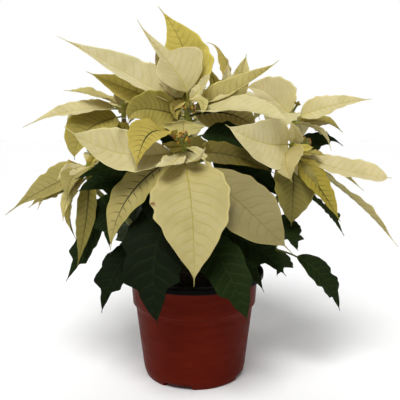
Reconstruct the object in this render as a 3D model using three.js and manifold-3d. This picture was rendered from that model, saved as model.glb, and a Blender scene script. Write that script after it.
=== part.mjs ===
// A potted poinsettia: a plastic nursery pot filled with soil, a woody main stem, eight leafy
// branches, and on each branch a head of cream bracts round a small cluster of flowers.
// Millimetres, +Z up, front towards -Y. The origin is the middle of the pot's flat foot pad.
import * as THREE from "three";
import { mergeVertices } from "three/addons/utils/BufferGeometryUtils.js";
import Module from "manifold-3d";

const wasm = await Module();
wasm.setup();

// ---- driving dimensions --------------------------------------------------------------------

// A 6-inch azalea pot, 160 mm across its lip and 122.5 mm tall.
const POT_HEIGHT = 122.5;
const LIP_RADIUS = 80;
const LIP_DEPTH = 6.5;
const BAND_RADIUS = 73; // the plain collar under the lip
const BAND_FOOT_RADIUS = 71;
const BAND_BOTTOM = 86;
const WALL_TOP_RADIUS = 68; // the tapered wall, just under the collar
const FOOT_RADIUS = 57;
const FOOT_FLARE = [[10, 2.4], [20, 3.6]]; // height, and how far the wall has flared out there
const POT_WALL = 1.8;
const FOOT_RING_INNER = 48; // the ring that the pot stands on
const RAISED_FLOOR = 4.5; // underside of the floor between the ring and the middle pad
const PAD_RADIUS = 17; // the flat pad in the middle, which also touches the ground
const NOTCH_COUNT = 4;
const NOTCH_START = -35; // degrees from the front, turning towards +X
const NOTCH_WIDTH = 33;
const DRAIN_HOLES = 6;
const DRAIN_HOLE_RADIUS = 4.5;
const DRAIN_RING_RADIUS = 33;
const POT_SIDES = 28;

const SOIL_TOP = 104;
const SOIL_MOUND = 2; // the soil is this much higher round the stem
const CLEARANCE = 0.3; // between pieces that touch

const TRUNK_RADIUS = 6;
const TRUNK_SIDES = 12;
const TRUNK_BOTTOM = 60; // inside the soil
const TRUNK_TOP = 150;
const BRANCH_RADIUS = 3.2;
const BRANCH_SIDES = 6;
const BRANCH_STEPS = 10;
const BRANCH_GAP = 0.4; // between a branch and the trunk or the head on it
const BRANCH_STUB = 3; // a branch leaves the trunk square for this far
const BRANCH_NECK = 6; // and reaches its head straight up for this far
const TOP_BRANCH_PULL = 50; // how far the top branch runs upright at each of its ends
const HUB_RADIUS = 3.1; // the green knob that a head's bracts grow from

const BLADE_TIP = 0.35; // half width at the very tip
const STALK_HALF_WIDTH = 0.9;
const DEFAULT_FOLD = 18; // degrees that each half of a blade rises from its midrib
const EDGE_WAVE = 2; // height of the waves along a blade's edge
const EDGE_WAVES = 1.5; // number of waves from stalk to tip
const EDGE_WAVE_SHIFT = 2; // radians between the waves of the two edges
const HANDLE_SHARE = 4 / 3; // a cubic's middle moves 3/4 as far as its two handles do

// ---- the three forms of blade ----------------------------------------------------------------
// stations: fractions of the blade's length where its width is set; taper: how fast it widens
// from the stalk and narrows to the tip; thickness: [fraction of the whole length, millimetres].

const BRACT = {
  stalk: 0.1,
  stations: [0.04, 0.26, 0.52, 0.78, 1],
  taper: [0.75, 1.25],
  thickness: [[0, 2.4], [0.1, 1.8], [0.25, 0.8], [1, 0.7]],
};
const SMALL = {
  stalk: 0.1,
  stations: [0.3, 0.7, 1],
  taper: [0.8, 1],
  thickness: [[0, 1.6], [0.3, 0.8], [1, 0.7]],
};
const LEAF = {
  stalk: 0.25,
  stations: [0.05, 0.22, 0.42, 0.47, 0.66, 0.71, 1],
  taper: [0.62, 1],
  // the width steps in after each of the two lobes down a leaf's side; a leaf's own lobing
  // says how much of that it shows, 1 being all
  lobes: [[0, 0.9], [0.22, 0.94], [0.42, 1.06], [0.47, 0.9], [0.66, 1.32], [0.71, 0.66], [1, 0.9]],
  thickness: [[0, 2.4], [0.25, 1.8], [0.4, 0.8], [1, 0.7]],
};

// ---- the eight branches ----------------------------------------------------------------------
// hub: foot of the head on the branch's top; height: of the hub; fork: height where the branch
// leaves the trunk; lean and climb shape the branch's curve; flowers: middle and radius of the
// cluster, and how far up the hub its stalk starts.

const BRANCHES = {
  top: { hub: [-8, 6, 292], height: 22, flowers: { at: [-5, -15, 305], radius: 7.5, from: 0.53 } },
  front: {
    hub: [-11, -50, 256], height: 20, fork: 140, lean: [0.62, 1], climb: [3, 0.45],
    flowers: { at: [-11, -72, 275], radius: 9, from: 0.75 },
  },
  right: {
    hub: [106, -24, 252], height: 18, fork: 120, lean: [1, 1], climb: [10, 0.45],
    flowers: { at: [120, -26, 270], radius: 6, from: 0.9 },
  },
  left: {
    hub: [-115, -20, 230], height: 18, fork: 125, lean: [0.4, 0.74], climb: [20, 0.72],
    flowers: { at: [-112, -14, 258], radius: 7, from: 1 },
  },
  back_right: {
    hub: [46, 60, 298], height: 18, fork: 130, lean: [0.5, 1], climb: [12, 0.5],
    flowers: { at: [54, 61, 325], radius: 7, from: 0.9 },
  },
  back_left: {
    hub: [-84, 48, 294], height: 20, fork: 138, lean: [0.25, 0.8], climb: [30, 0.6],
    flowers: { at: [-80, 56, 323], radius: 7, from: 1 },
  },
  back: {
    hub: [-6, 100, 276], height: 20, fork: 146, lean: [0.6, 1], climb: [6, 0.45],
    flowers: { at: [-6, 100, 304], radius: 8, from: 1 },
  },
  upper_right: {
    hub: [112, 10, 282], height: 20, fork: 142, lean: [0.62, 1], climb: [3, 0.45],
    flowers: { at: [115, 4, 310], radius: 3.8, from: 1 },
  },
};

// ---- bracts ----------------------------------------------------------------------------------
// tip: where the blade ends; width: at its widest; face: the way its upper side looks;
// bow: how far its middle stands off a straight line, and bowFar the same nearer the tip; rise:
// how far up the hub it starts; fold: degrees that its halves rise from the midrib.

const BRACTS = {
  top: [
    { tip: [102, -62, 291], width: 55, face: [0.1, -0.5, 1], bow: [5, -8, 9], rise: 0.4 },
    { tip: [-62, 8, 402], width: 76, face: [0.75, -1, 0.2], bow: [18, -8, -2], bowFar: [1, -6, -5],
      rise: 0.9, fold: 24, taper: [1.7, 4.4] },
    { tip: [-149, 0, 384], width: 47, face: [-0.1, -1, 0.9], bow: [-4, 0, 3], rise: 0.7,
      fold: 34, taper: [0.45, 1.4] },
    { tip: [-70, -32, 292], width: 42, face: [-0.2, -1, 0.1], bow: [-12, -7, 10], rise: 0.15,
      bowFar: [-12, -8, 14], taper: [0.7, 0.8] },
    { tip: [93, 0, 358], width: 32, face: [0, -0.9, 0.8], bow: [2, 0, -7], rise: 0.7, fold: 45 },
    { tip: [-41, 34, 420], width: 60, face: [0.1, -1, 0.1], bow: [14, 8, 0], rise: 1, taper: [0.75, 1.7] },
    { tip: [-122, 20, 347], width: 36, face: [-0.1, -1, 0.5], bow: [-4, -2, 0], rise: 0.5 },
    { tip: [72, -14, 280], width: 54, face: [0.1, -1, 0.4], bow: [5, 4, 12], rise: 0.2 },
    { tip: [-24, -16, 300], width: 13, face: [-0.2, -1, 0.3], bow: [-3, -2, 3], rise: 0.97, form: SMALL },
    { tip: [-17, -20, 293], width: 12, face: [0, -1, 0.2], bow: [-7, -4, 4], rise: 0.75, form: SMALL },
    { tip: [8, -26, 299], width: 14, face: [0.2, -1, 0.3], bow: [9, -4, 8], rise: 0.9, form: SMALL },
    { tip: [18, -4, 345], width: 16, face: [-0.3, -0.8, 0.5], bow: [2, -2, -2], rise: 0.95, form: SMALL },
    { tip: [-42, 14, 379], width: 26, face: [0.3, -1, 0.2], bow: [-8, 3, 0], rise: 0.95,
      taper: [0.6, 1.25] },
    { tip: [-50, 26, 358], width: 40, face: [0.2, -1, 0.4], bow: [-4, 7, 0], rise: 0.5,
      taper: [0.6, 1.25] },
  ],
  front: [
    { tip: [1, -128, 141], width: 78, face: [0, -1, 0.35], bow: [4, -22, 10], rise: 0.2,
      fold: 8, taper: [0.85, 1.3] },
    { tip: [-123, -95, 290], width: 50, face: [0.1, -1, 0.75], bow: [-4, -6, -14], rise: 0.4,
      taper: [0.85, 1.05] },
    { tip: [-55, -102, 248], width: 44, face: [-0.3, -0.8, 0.6], bow: [-14, 10, 32], rise: 0.55,
      bowFar: [-8, -6, 16] },
    { tip: [-82, -95, 168], width: 46, face: [-0.6, -0.8, 0.5], bow: [-16, -8, 8], rise: 0.25,
      fold: 8, taper: [0.6, 1] },
    { tip: [100, -94, 163], width: 60, face: [0.1, -1, 0.45], bow: [0, -8, 4], rise: 0.2, fold: 8,
      taper: [1.5, 1.3] },
    { tip: [22, -58, 256], width: 30, face: [0.1, -1, 0.3], bow: [0, -2, 4], rise: 0.3 },
    { tip: [84, -57, 240], width: 25, face: [0.1, -1, 0.5], bow: [0, -7, 10], rise: 0.15 },
    { tip: [-10, -40, 295], width: 46, face: [0, -1, 0.3], bow: [0, 6, 2], rise: 0.9, taper: [0.9, 0.5] },
    { tip: [-37, -94, 253], width: 20, face: [-0.2, -1, 1], bow: [2, -16, -4], rise: 0.3,
      form: SMALL, taper: [0.6, 0.4] },
    { tip: [12, -90, 270], width: 15, face: [0, -1, 0.8], bow: [2, -12, -10], rise: 0.3,
      form: SMALL, taper: [0.7, 0.6] },
    { tip: [-31, -74, 273], width: 12, face: [0, -1, 0.3], bow: [-2, -4, -2], rise: 0.6, form: SMALL },
    { tip: [18, -68, 236], width: 9, face: [0.6, -1, 0], bow: [6, -2, 8], rise: 0.5, form: SMALL },
  ],
  right: [
    { tip: [214, -30, 232], width: 36, face: [0, -0.7, 1], bow: [2, 0, -5], rise: 0.4, taper: [0.9, 0.6] },
    { tip: [32, -72, 291], width: 58, face: [-0.1, -1, 0.3], bow: [0, -10, -6], rise: 0.9,
      taper: [0.5, 1.1] },
    { tip: [101, -66, 232], width: 42, face: [-0.3, -1, 0.4], bow: [-8, -4, 6], rise: 0.7 },
    { tip: [239, 12, 145], width: 32, face: [0.8, 0.1, 0.6], bow: [6, -2, 6], rise: 0.2 },
    { tip: [199, 24, 210], width: 26, face: [0, -0.4, 1], bow: [0, 0, 8], rise: 0.2 },
    { tip: [154, -56, 189], width: 32, face: [0.5, -1, 0.5], bow: [3, -4, -1], rise: 0.45 },
    { tip: [105, -38, 180], width: 52, face: [0.3, -1, 0.2], bow: [0, -13, 3], rise: 0.32 },
    { tip: [126, -42, 266], width: 12, face: [0, -1, 0.5], bow: [-4, -8, 0], rise: 0.6, form: SMALL },
    { tip: [140, -34, 257], width: 14, face: [0, -0.6, 1], bow: [0, 2, 0], rise: 0.5, form: SMALL },
    { tip: [101, -44, 292], width: 20, face: [-0.4, -1, 0.2], bow: [4, -4, 0], rise: 0.9, form: SMALL },
    { tip: [108, -54, 238], width: 16, face: [-0.6, -1, 0.2], bow: [-3, -6, 2], rise: 0.8, form: SMALL },
  ],
  left: [
    { tip: [-201, -44, 194], width: 44, face: [-0.2, -0.8, 0.8], bow: [-1, -6, 5], rise: 0.5,
      taper: [0.5, 1.9] },
    { tip: [-185, -14, 196], width: 26, face: [-0.1, -0.8, 0.7], bow: [-4, 0, 2], rise: 0.3 },
    { tip: [-129, -66, 214], width: 30, face: [-0.3, -1, 0.6], bow: [-4, -12, 8], rise: 0.6 },
    { tip: [-125, -52, 138], width: 24, face: [-0.2, -1, 0.2], bow: [6, -10, 6], rise: 0.35,
      taper: [0.6, 1.3] },
    { tip: [-130, -26, 162], width: 20, face: [-0.9, -0.5, 0.2], bow: [-12, -8, 4], rise: 0.2 },
    { tip: [-137, -56, 190], width: 14, face: [-0.3, -1, 0.2], bow: [-4, -12, 4], rise: 0.4, form: SMALL },
    { tip: [-103, -34, 256], width: 13, face: [0.2, -1, 0.5], bow: [2, -4, 4], rise: 0.72, form: SMALL },
    { tip: [-124, -60, 226], width: 17, face: [-0.2, -1, 0.5], bow: [-2, -6, 4], rise: 0.7, form: SMALL },
    { tip: [-144, -44, 232], width: 15, face: [-0.2, -1, 0.5], bow: [-2, -4, 4], rise: 0.68, form: SMALL },
  ],
  back_right: [
    { tip: [15, 60, 382], width: 24, face: [-0.6, 0.2, 0.6], bow: [6, 6, 8], rise: 0.7,
      bowFar: [9, 6, 17] },
    { tip: [62, 58, 369], width: 24, face: [0, -1, 0.2], bow: [0, -10, 0], rise: 0.5 },
    { tip: [40, 50, 359], width: 20, face: [0.2, -1, 0.2], bow: [-4, -8, -2], rise: 0.4 },
  ],
  back_left: [
    { tip: [-191, 0, 285], width: 32, face: [-0.1, -0.7, 1], bow: [-4, -4, 8], rise: 0.5,
      taper: [0.6, 1.6] },
    { tip: [-150, 28, 326], width: 24, face: [0, -0.4, 1], bow: [0, 0, 4], rise: 0.7 },
    { tip: [-135, 2, 248], width: 52, face: [-0.3, -1, 0.2], bow: [-14, -6, 8], rise: 0.1,
      taper: [0.6, 0.9] },
    { tip: [-74, 18, 300], width: 18, face: [0, -1, 0.3], bow: [0, -6, 6], rise: 0.3, form: SMALL },
    { tip: [-88, 20, 339], width: 20, face: [0.3, -1, 0.3], bow: [0, -8, 0], rise: 0.8, form: SMALL },
  ],
  upper_right: [
    { tip: [191, -20, 316], width: 30, face: [-0.1, -0.8, 0.7], bow: [0, -2, 4], rise: 0.6,
      taper: [0.6, 1.3] },
    { tip: [172, 26, 278], width: 30, face: [0.2, -0.6, 1], bow: [4, 0, 8], rise: 0.3 },
    { tip: [151, -14, 260], width: 13, face: [0.3, 0.5, 1], bow: [8, -2, 6], rise: 0.4 },
    { tip: [58, 36, 328], width: 52, face: [0.3, -1, 0.1], bow: [-2, 8, 13], rise: 0.6 },
    { tip: [90, -22, 272], width: 42, face: [-0.2, -1, 0.4], bow: [-6, -3, 16], rise: 0.6 },
  ],
};

// Bracts round the backs of the heads, one for each azimuth (degrees from +X towards +Y):
// reach: from the hub outwards; lift: of the tip over the hub's foot; arch: outwards and up.
const BRACT_FANS = {
  top: [{ azimuth: [82, 118], reach: [80, 84], lift: [36, 46], width: 36, arch: [0, 8], rise: 0.6 }],
  right: [{ azimuth: [50], reach: [56], lift: [-54], width: 24, arch: [6, 10], rise: 0.2 }],
  left: [
    {
      azimuth: [74, 112, 150], reach: [78, 84, 80], lift: [6, -22, -42],
      width: 38, arch: [4, 14], rise: 0.5,
    },
  ],
  back_right: [
    {
      azimuth: [30, 66, 108], reach: [92, 106, 88], lift: [4, -10, 14],
      width: 46, arch: [4, 14], rise: 0.5,
    },
  ],
  back_left: [
    {
      azimuth: [60, 98, 148], reach: [86, 100, 98], lift: [18, -4, -14],
      width: 42, arch: [4, 14], rise: 0.5,
    },
  ],
  back: [
    {
      azimuth: [8, 50, 92, 134, 176], reach: [84, 100, 106, 100, 84], lift: [2, -22, -38, -24, 4],
      width: 50, arch: [6, 18], rise: 0.5,
    },
    {
      azimuth: [236, 312], reach: [36, 34], lift: [26, 26],
      width: 18, arch: [4, 4], rise: 0.8, form: SMALL,
    },
  ],
  upper_right: [
    { azimuth: [72, 118], reach: [74, 84], lift: [-18, 6], width: 40, arch: [4, 14], rise: 0.5 },
  ],
};

// ---- green leaves ----------------------------------------------------------------------------
// at: how far up the branch the leaf grows; the rest is as for bracts.

const LEAVES = {
  top: [
    { at: 0.72, tip: [94, -38, 211], width: 50, face: [0.1, -1, 0.4], bow: [6, -2, 15] },
    { at: 0.88, tip: [78, -44, 243], width: 34, face: [0.2, -0.9, 0.6], bow: [-2, -14, 21] },
    { at: 0.35, tip: [76, -50, 110], width: 30, face: [0.2, -1, 0.2], bow: [4, -8, 10] },
    { at: 0.7, tip: [-47, 6, 293], width: 24, face: [0, -1, 0.6], bow: [-2, 0, 6] },
    { at: 0.6, tip: [-40, -20, 262], width: 30, face: [-0.2, -1, 0.3], bow: [-2, -6, 6] },
  ],
  front: [
    { at: 0.45, tip: [54, -110, 99], width: 46, face: [0.1, -1, 0.3], bow: [2, -18, 26], lobing: 0.4 },
    { at: 0.5, tip: [97, -66, 133], width: 46, face: [0.2, -1, 0.6], bow: [4, -4, 18] },
    { at: 0.75, tip: [-35, -112, 96], width: 64, face: [-0.1, -1, 0.3], bow: [-14, -14, 20],
      stalk: 0.12, taper: [0.5, 0.9], lobing: 0.8 },
    { at: 0.9, tip: [-36, -80, 184], width: 28, face: [-0.4, -1, 0.2], bow: [-14, -8, 4],
      stalk: 0.15, lobing: 0.3 },
    { at: 0.74, tip: [-120, -66, 222], width: 46, face: [0, -1, 0.6], bow: [0, 8, 18] },
    { at: 0.88, tip: [-118, -80, 237], width: 22, face: [-0.2, -1, 0.6], bow: [-4, 14, 12] },
  ],
  right: [
    { at: 0.86, tip: [164, -34, 169], width: 22, face: [0.8, 0.2, 0.4], bow: [2, 4, 10] },
    { at: 0.8, tip: [110, -60, 159], width: 36, face: [0.6, -1, 0.2], bow: [-8, 10, -4] },
    { at: 0.42, tip: [167, -16, 77], width: 28, face: [0.5, -1, 0.4], bow: [8, -8, 15] },
  ],
  left: [
    { at: 0.35, tip: [-97, -70, 94], width: 34, face: [-0.3, -1, 0.2], bow: [-5, -10, 20],
      taper: [0.55, 1] },
    { at: 0.9, tip: [-90, -52, 160], width: 30, face: [-0.2, -1, 0.2], bow: [6, -8, 8], stalk: 0.15 },
    { at: 0.84, tip: [-141, -36, 118], width: 30, face: [-0.4, -1, 0.3], bow: [10, -8, 10],
      stalk: 0.12, taper: [0.4, 1] },
  ],
  back_right: [
    { at: 0.93, tip: [15, 24, 353], width: 30, face: [0, -1, 0.3], bow: [0, -4, 4] },
  ],
  back_left: [
    { at: 0.75, tip: [-102, 44, 299], width: 22, face: [0, -1, 0.3], bow: [2, 4, 3], stalk: 0.1 },
  ],
  upper_right: [
    { at: 0.86, tip: [174, 30, 262], width: 24, face: [0.2, -0.8, 0.4], bow: [2, 0, 16],
      stalk: 0.1, taper: [0.62, 1.4] },
  ],
};

// Leaves round the back, one for each azimuth: reach is measured from the pot's axis.
const LEAF_FANS = {
  top: {
    at: [0.3, 0.3], azimuth: [72, 120], reach: [110, 110],
    height: [108, 104], width: 42, arch: [8, 22],
  },
  right: {
    at: [0.3, 0.3], azimuth: [6, 40], reach: [98, 100],
    height: [110, 106], width: 40, arch: [8, 22],
  },
  left: {
    at: [0.7, 0.5, 0.25, 0.25], azimuth: [140, 128, 184, 158], reach: [158, 130, 98, 100],
    height: [156, 108, 110, 106], width: 42, arch: [9, 20],
  },
  back_right: {
    at: [0.75, 0.5], azimuth: [46, 66], reach: [176, 140],
    height: [200, 128], width: 48, arch: [14, 20],
  },
  back_left: {
    at: [0.75, 0.5], azimuth: [138, 126], reach: [186, 144],
    height: [190, 120], width: 50, arch: [14, 20],
  },
  back: {
    at: [0.8, 0.7, 0.55, 0.4], azimuth: [66, 114, 88, 98], reach: [184, 180, 160, 116],
    height: [186, 176, 140, 98], width: 52, arch: [14, 22],
  },
  upper_right: {
    at: [0.75, 0.5], azimuth: [36, 42], reach: [176, 132],
    height: [186, 116], width: 46, arch: [10, 18],
  },
};

// ---- flowers ---------------------------------------------------------------------------------

const BUDS = 5; // small egg-shaped flowers in one cluster
const BUD_LENGTH = 0.62; // half length, as a share of the cluster's radius
const BUD_RADIUS = 0.34;
const BUD_SPREAD = 0.58; // how far the buds stand from the middle
const BUD_DOME = 0.9; // the buds share this much of a dome's height, 1 being half a ball
const FIRST_BUD = 0.35; // the first bud stands this share of a bud's step off the top
const CUSHION_RADIUS = 0.5; // the small disc that the buds stand on
const FLOWER_STALK = 1.3; // radius of the stalk between hub and cluster
const GOLDEN_ANGLE = Math.PI * (3 - Math.sqrt(5));

// ---- materials -------------------------------------------------------------------------------

const plastic = new THREE.MeshStandardMaterial({ color: 0x7c3a26, roughness: 0.5, metalness: 0 });
const peat = new THREE.MeshStandardMaterial({ color: 0x2a1f17, roughness: 1, metalness: 0 });
const bark = new THREE.MeshStandardMaterial({ color: 0x6f5b3a, roughness: 0.85, metalness: 0 });
const foliage = new THREE.MeshStandardMaterial({ color: 0x24401c, roughness: 0.6, metalness: 0 });
const cream = new THREE.MeshStandardMaterial({ color: 0xe4d8a8, roughness: 0.6, metalness: 0 });
const blossom = new THREE.MeshStandardMaterial({ color: 0x9a9a34, roughness: 0.6, metalness: 0 });

// ---- helpers ---------------------------------------------------------------------------------

const point = (triple) => new THREE.Vector3(...triple);

/** Straight-line value between the two pairs on either side of x. */
function interpolate(pairs, x) {
  const next = Math.max(1, pairs.findIndex(([key]) => key >= x));
  const [x0, y0] = pairs[next - 1];
  const [x1, y1] = pairs[next];
  return THREE.MathUtils.mapLinear(x, x0, x1, y0, y1);
}

/** A closed triangle mesh as a solid that can be joined and cut. */
function solidFrom(positions, triangles) {
  const mesh = new wasm.Mesh({
    numProp: 3,
    vertProperties: new Float32Array(positions),
    triVerts: new Uint32Array(triangles),
  });
  return new wasm.Manifold(mesh);
}

/** A closed three.js geometry as a solid, without the empty triangles at a lathe's poles. */
function solidOf(geometry) {
  geometry.deleteAttribute("normal");
  geometry.deleteAttribute("uv");
  const merged = mergeVertices(geometry, 1e-4);
  const index = merged.index.array;
  const triangles = [];
  for (let i = 0; i < index.length; i += 3) {
    const [a, b, c] = index.slice(i, i + 3);
    if (a !== b && b !== c && c !== a) triangles.push(a, b, c);
  }
  return solidFrom(merged.attributes.position.array, triangles);
}

/** One body from overlapping solids: sealed hollows are filled and loose scraps dropped. */
function fuse(solids) {
  const joined = solids.reduce((all, next) => all.add(next));
  return joined.decompose().reduce((best, next) => (next.volume() > best.volume() ? next : best));
}

/** A named mesh with flat faces. */
function piece(name, solid, material) {
  const mesh = solid.getMesh();
  const geometry = new THREE.BufferGeometry();
  geometry.setAttribute("position", new THREE.BufferAttribute(new Float32Array(mesh.vertProperties), 3));
  geometry.setIndex(Array.from(mesh.triVerts));
  const result = new THREE.Mesh(geometry, material);
  result.name = name;
  return result;
}

/** A profile of [radius, height] pairs turned about the Z axis. */
function turned(profile, sides) {
  const outline = profile.map(([radius, height]) => new THREE.Vector2(radius, height));
  return solidOf(new THREE.LatheGeometry(outline, sides).rotateX(Math.PI / 2));
}

/** A round bar of even thickness along a smooth line through the points. */
function bar(points, radius, sides, steps) {
  const corners = [];
  for (let i = 0; i < sides; i += 1) {
    const angle = (2 * Math.PI * i) / sides;
    corners.push(new THREE.Vector2(radius * Math.cos(angle), radius * Math.sin(angle)));
  }
  const section = new THREE.Shape(corners);
  const path = new THREE.CatmullRomCurve3(points);
  return solidOf(new THREE.ExtrudeGeometry(section, { steps, extrudePath: path }));
}

// ---- blades ----------------------------------------------------------------------------------

/**
 * A leaf blade. Its midrib is a cubic curve from root to tip. At each station the blade has a
 * ring of six corners: left edge, midrib and right edge, on top and again underneath. The edges
 * rise from the midrib by the fold, plus a sine wave that is different on the two sides.
 */
function blade(root, leaf, form) {
  const tip = point(leaf.tip);
  const chord = tip.clone().sub(root);
  const bowNear = point(leaf.bow).multiplyScalar(HANDLE_SHARE);
  const bowFar = point(leaf.bowFar ?? leaf.bow).multiplyScalar(HANDLE_SHARE);
  const midrib = new THREE.CubicBezierCurve3(
    root,
    root.clone().addScaledVector(chord, 1 / 3).add(bowNear),
    root.clone().addScaledVector(chord, 2 / 3).add(bowFar),
    tip,
  );
  const along = chord.normalize();
  const facing = point(leaf.face).projectOnPlane(along).normalize();
  const across = along.clone().cross(facing);

  const stalk = leaf.stalk ?? form.stalk;
  const [widening, narrowing] = leaf.taper ?? form.taper;
  const widest = widening / (widening + narrowing);
  const peak = widest ** widening * (1 - widest) ** narrowing;
  const fold = THREE.MathUtils.degToRad(leaf.fold ?? DEFAULT_FOLD);

  const stations = [0, ...form.stations.map((s) => stalk + (1 - stalk) * s)];
  const corners = [];
  stations.forEach((u, row) => {
    const s = (u - stalk) / (1 - stalk);
    const inside = Math.max(s, 0);
    let share = (inside ** widening * (1 - inside) ** narrowing) / peak;
    if (form.lobes) share *= 1 + (leaf.lobing ?? 1) * (interpolate(form.lobes, inside) - 1);
    const atTip = row === stations.length - 1;
    const half = atTip ? BLADE_TIP : Math.max((leaf.width * share) / 2, STALK_HALF_WIDTH);
    const middle = midrib.getPointAt(u);
    const tangent = midrib.getTangentAt(u);
    const side = across.clone().projectOnPlane(tangent).normalize();
    const up = side.clone().cross(tangent);
    const height = EDGE_WAVE * (half / (leaf.width / 2));
    const waveAngle = 2 * Math.PI * EDGE_WAVES * s;
    const leftLift = half * Math.sin(fold) + height * Math.sin(waveAngle);
    const rightLift = half * Math.sin(fold) + height * Math.sin(waveAngle + EDGE_WAVE_SHIFT);
    const reach = half * Math.cos(fold);
    const left = middle.clone().addScaledVector(side, -reach).addScaledVector(up, leftLift);
    const right = middle.clone().addScaledVector(side, reach).addScaledVector(up, rightLift);
    const halfThick = interpolate(form.thickness, u) / 2;
    for (const corner of [left, middle, right]) {
      corners.push(...corner.clone().addScaledVector(up, halfThick).toArray());
    }
    for (const corner of [right, middle, left]) {
      corners.push(...corner.clone().addScaledVector(up, -halfThick).toArray());
    }
  });
  return solidFrom(corners, bladeTriangles(stations.length));
}

/** The triangles of a blade's rings of six corners, split alike on its two faces. */
function bladeTriangles(rows) {
  const triangles = [];
  for (let row = 0; row < rows - 1; row += 1) {
    const a = row * 6;
    const b = a + 6;
    triangles.push(a, a + 1, b + 1, a, b + 1, b, a + 1, a + 2, b + 1, a + 2, b + 2, b + 1);
    triangles.push(a + 5, b + 4, a + 4, a + 5, b + 5, b + 4, a + 4, b + 4, a + 3, a + 3, b + 4, b + 3);
    triangles.push(a + 2, a + 3, b + 3, a + 2, b + 3, b + 2, a + 5, a, b, a + 5, b, b + 5);
  }
  triangles.push(0, 4, 1, 0, 5, 4, 1, 4, 2, 2, 4, 3);
  const end = (rows - 1) * 6;
  triangles.push(end, end + 1, end + 4, end, end + 4, end + 5);
  triangles.push(end + 1, end + 2, end + 4, end + 2, end + 3, end + 4);
  return triangles;
}

/** The blades of a fan, one for each azimuth, turned outwards from the centre. */
function fanBlades(fan, centre, heights, tiltOut, rise) {
  return fan.azimuth.map((degrees, i) => {
    const angle = THREE.MathUtils.degToRad(degrees);
    const out = [Math.cos(angle), Math.sin(angle)];
    return {
      tip: [
        Math.round(centre[0] + fan.reach[i] * out[0]),
        Math.round(centre[1] + fan.reach[i] * out[1]),
        Math.round(heights[i]),
      ],
      face: [out[0] * tiltOut[0], out[1] * tiltOut[0], tiltOut[1]],
      bow: [fan.arch[0] * out[0], fan.arch[0] * out[1], fan.arch[1]],
      width: fan.width,
      form: fan.form,
      at: fan.at?.[i],
      rise,
    };
  });
}

// ---- branches and heads ----------------------------------------------------------------------

/** The curve of a branch from just off the trunk to just under its head's straight neck. */
function branchCurve({ hub, fork, lean, climb }) {
  const top = point(hub);
  top.z -= BRANCH_GAP + BRANCH_NECK;
  if (fork === undefined) {
    const foot = new THREE.Vector3(0, 0, TRUNK_TOP + BRANCH_GAP);
    return new THREE.CubicBezierCurve3(
      foot,
      new THREE.Vector3(0, 0, TRUNK_TOP + TOP_BRANCH_PULL),
      new THREE.Vector3(top.x, top.y, top.z - TOP_BRANCH_PULL),
      top,
    );
  }
  const out = new THREE.Vector3(hub[0], hub[1], 0).normalize();
  const foot = out.clone().multiplyScalar(TRUNK_RADIUS + BRANCH_GAP + BRANCH_STUB).setZ(fork);
  return new THREE.CubicBezierCurve3(
    foot,
    new THREE.Vector3(hub[0] * lean[0], hub[1] * lean[0], fork + climb[0]),
    new THREE.Vector3(hub[0] * lean[1], hub[1] * lean[1], fork + (top.z - fork) * climb[1]),
    top,
  );
}

/** A branch with its green leaves, fused in one body. */
function leafyBranch(name) {
  const branch = BRANCHES[name];
  const curve = branchCurve(branch);
  const points = curve.getPoints(BRANCH_STEPS);
  if (branch.fork !== undefined) {
    const foot = points[0];
    const inwards = new THREE.Vector3(-foot.x, -foot.y, 0).setLength(BRANCH_STUB);
    points.unshift(foot.clone().add(inwards));
  }
  const top = points[points.length - 1];
  points.push(top.clone().setZ(top.z + BRANCH_NECK));
  const solids = [bar(points, BRANCH_RADIUS, BRANCH_SIDES, BRANCH_STEPS)];
  const fan = LEAF_FANS[name];
  const fanLeaves = fan ? fanBlades(fan, [0, 0], fan.height, [0.6, 0.8]) : [];
  for (const leaf of [...(LEAVES[name] ?? []), ...fanLeaves]) {
    solids.push(blade(curve.getPoint(leaf.at), leaf, LEAF));
  }
  return fuse(solids);
}

/** A head: the hub on top of a branch and every bract that grows from it. */
function head(name) {
  const { hub, height } = BRANCHES[name];
  const knob = new THREE.CylinderGeometry(HUB_RADIUS, HUB_RADIUS, height, BRANCH_SIDES);
  knob.rotateX(Math.PI / 2).translate(hub[0], hub[1], hub[2] + height / 2);
  const solids = [solidOf(knob)];
  const fans = (BRACT_FANS[name] ?? []).flatMap((fan) => (
    fanBlades(fan, hub, fan.lift.map((lift) => hub[2] + lift), [0.3, 1], fan.rise)
  ));
  for (const bract of [...(BRACTS[name] ?? []), ...fans]) {
    const root = new THREE.Vector3(hub[0], hub[1], hub[2] + height * bract.rise);
    solids.push(blade(root, bract, bract.form ?? BRACT));
  }
  return fuse(solids);
}

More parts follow.
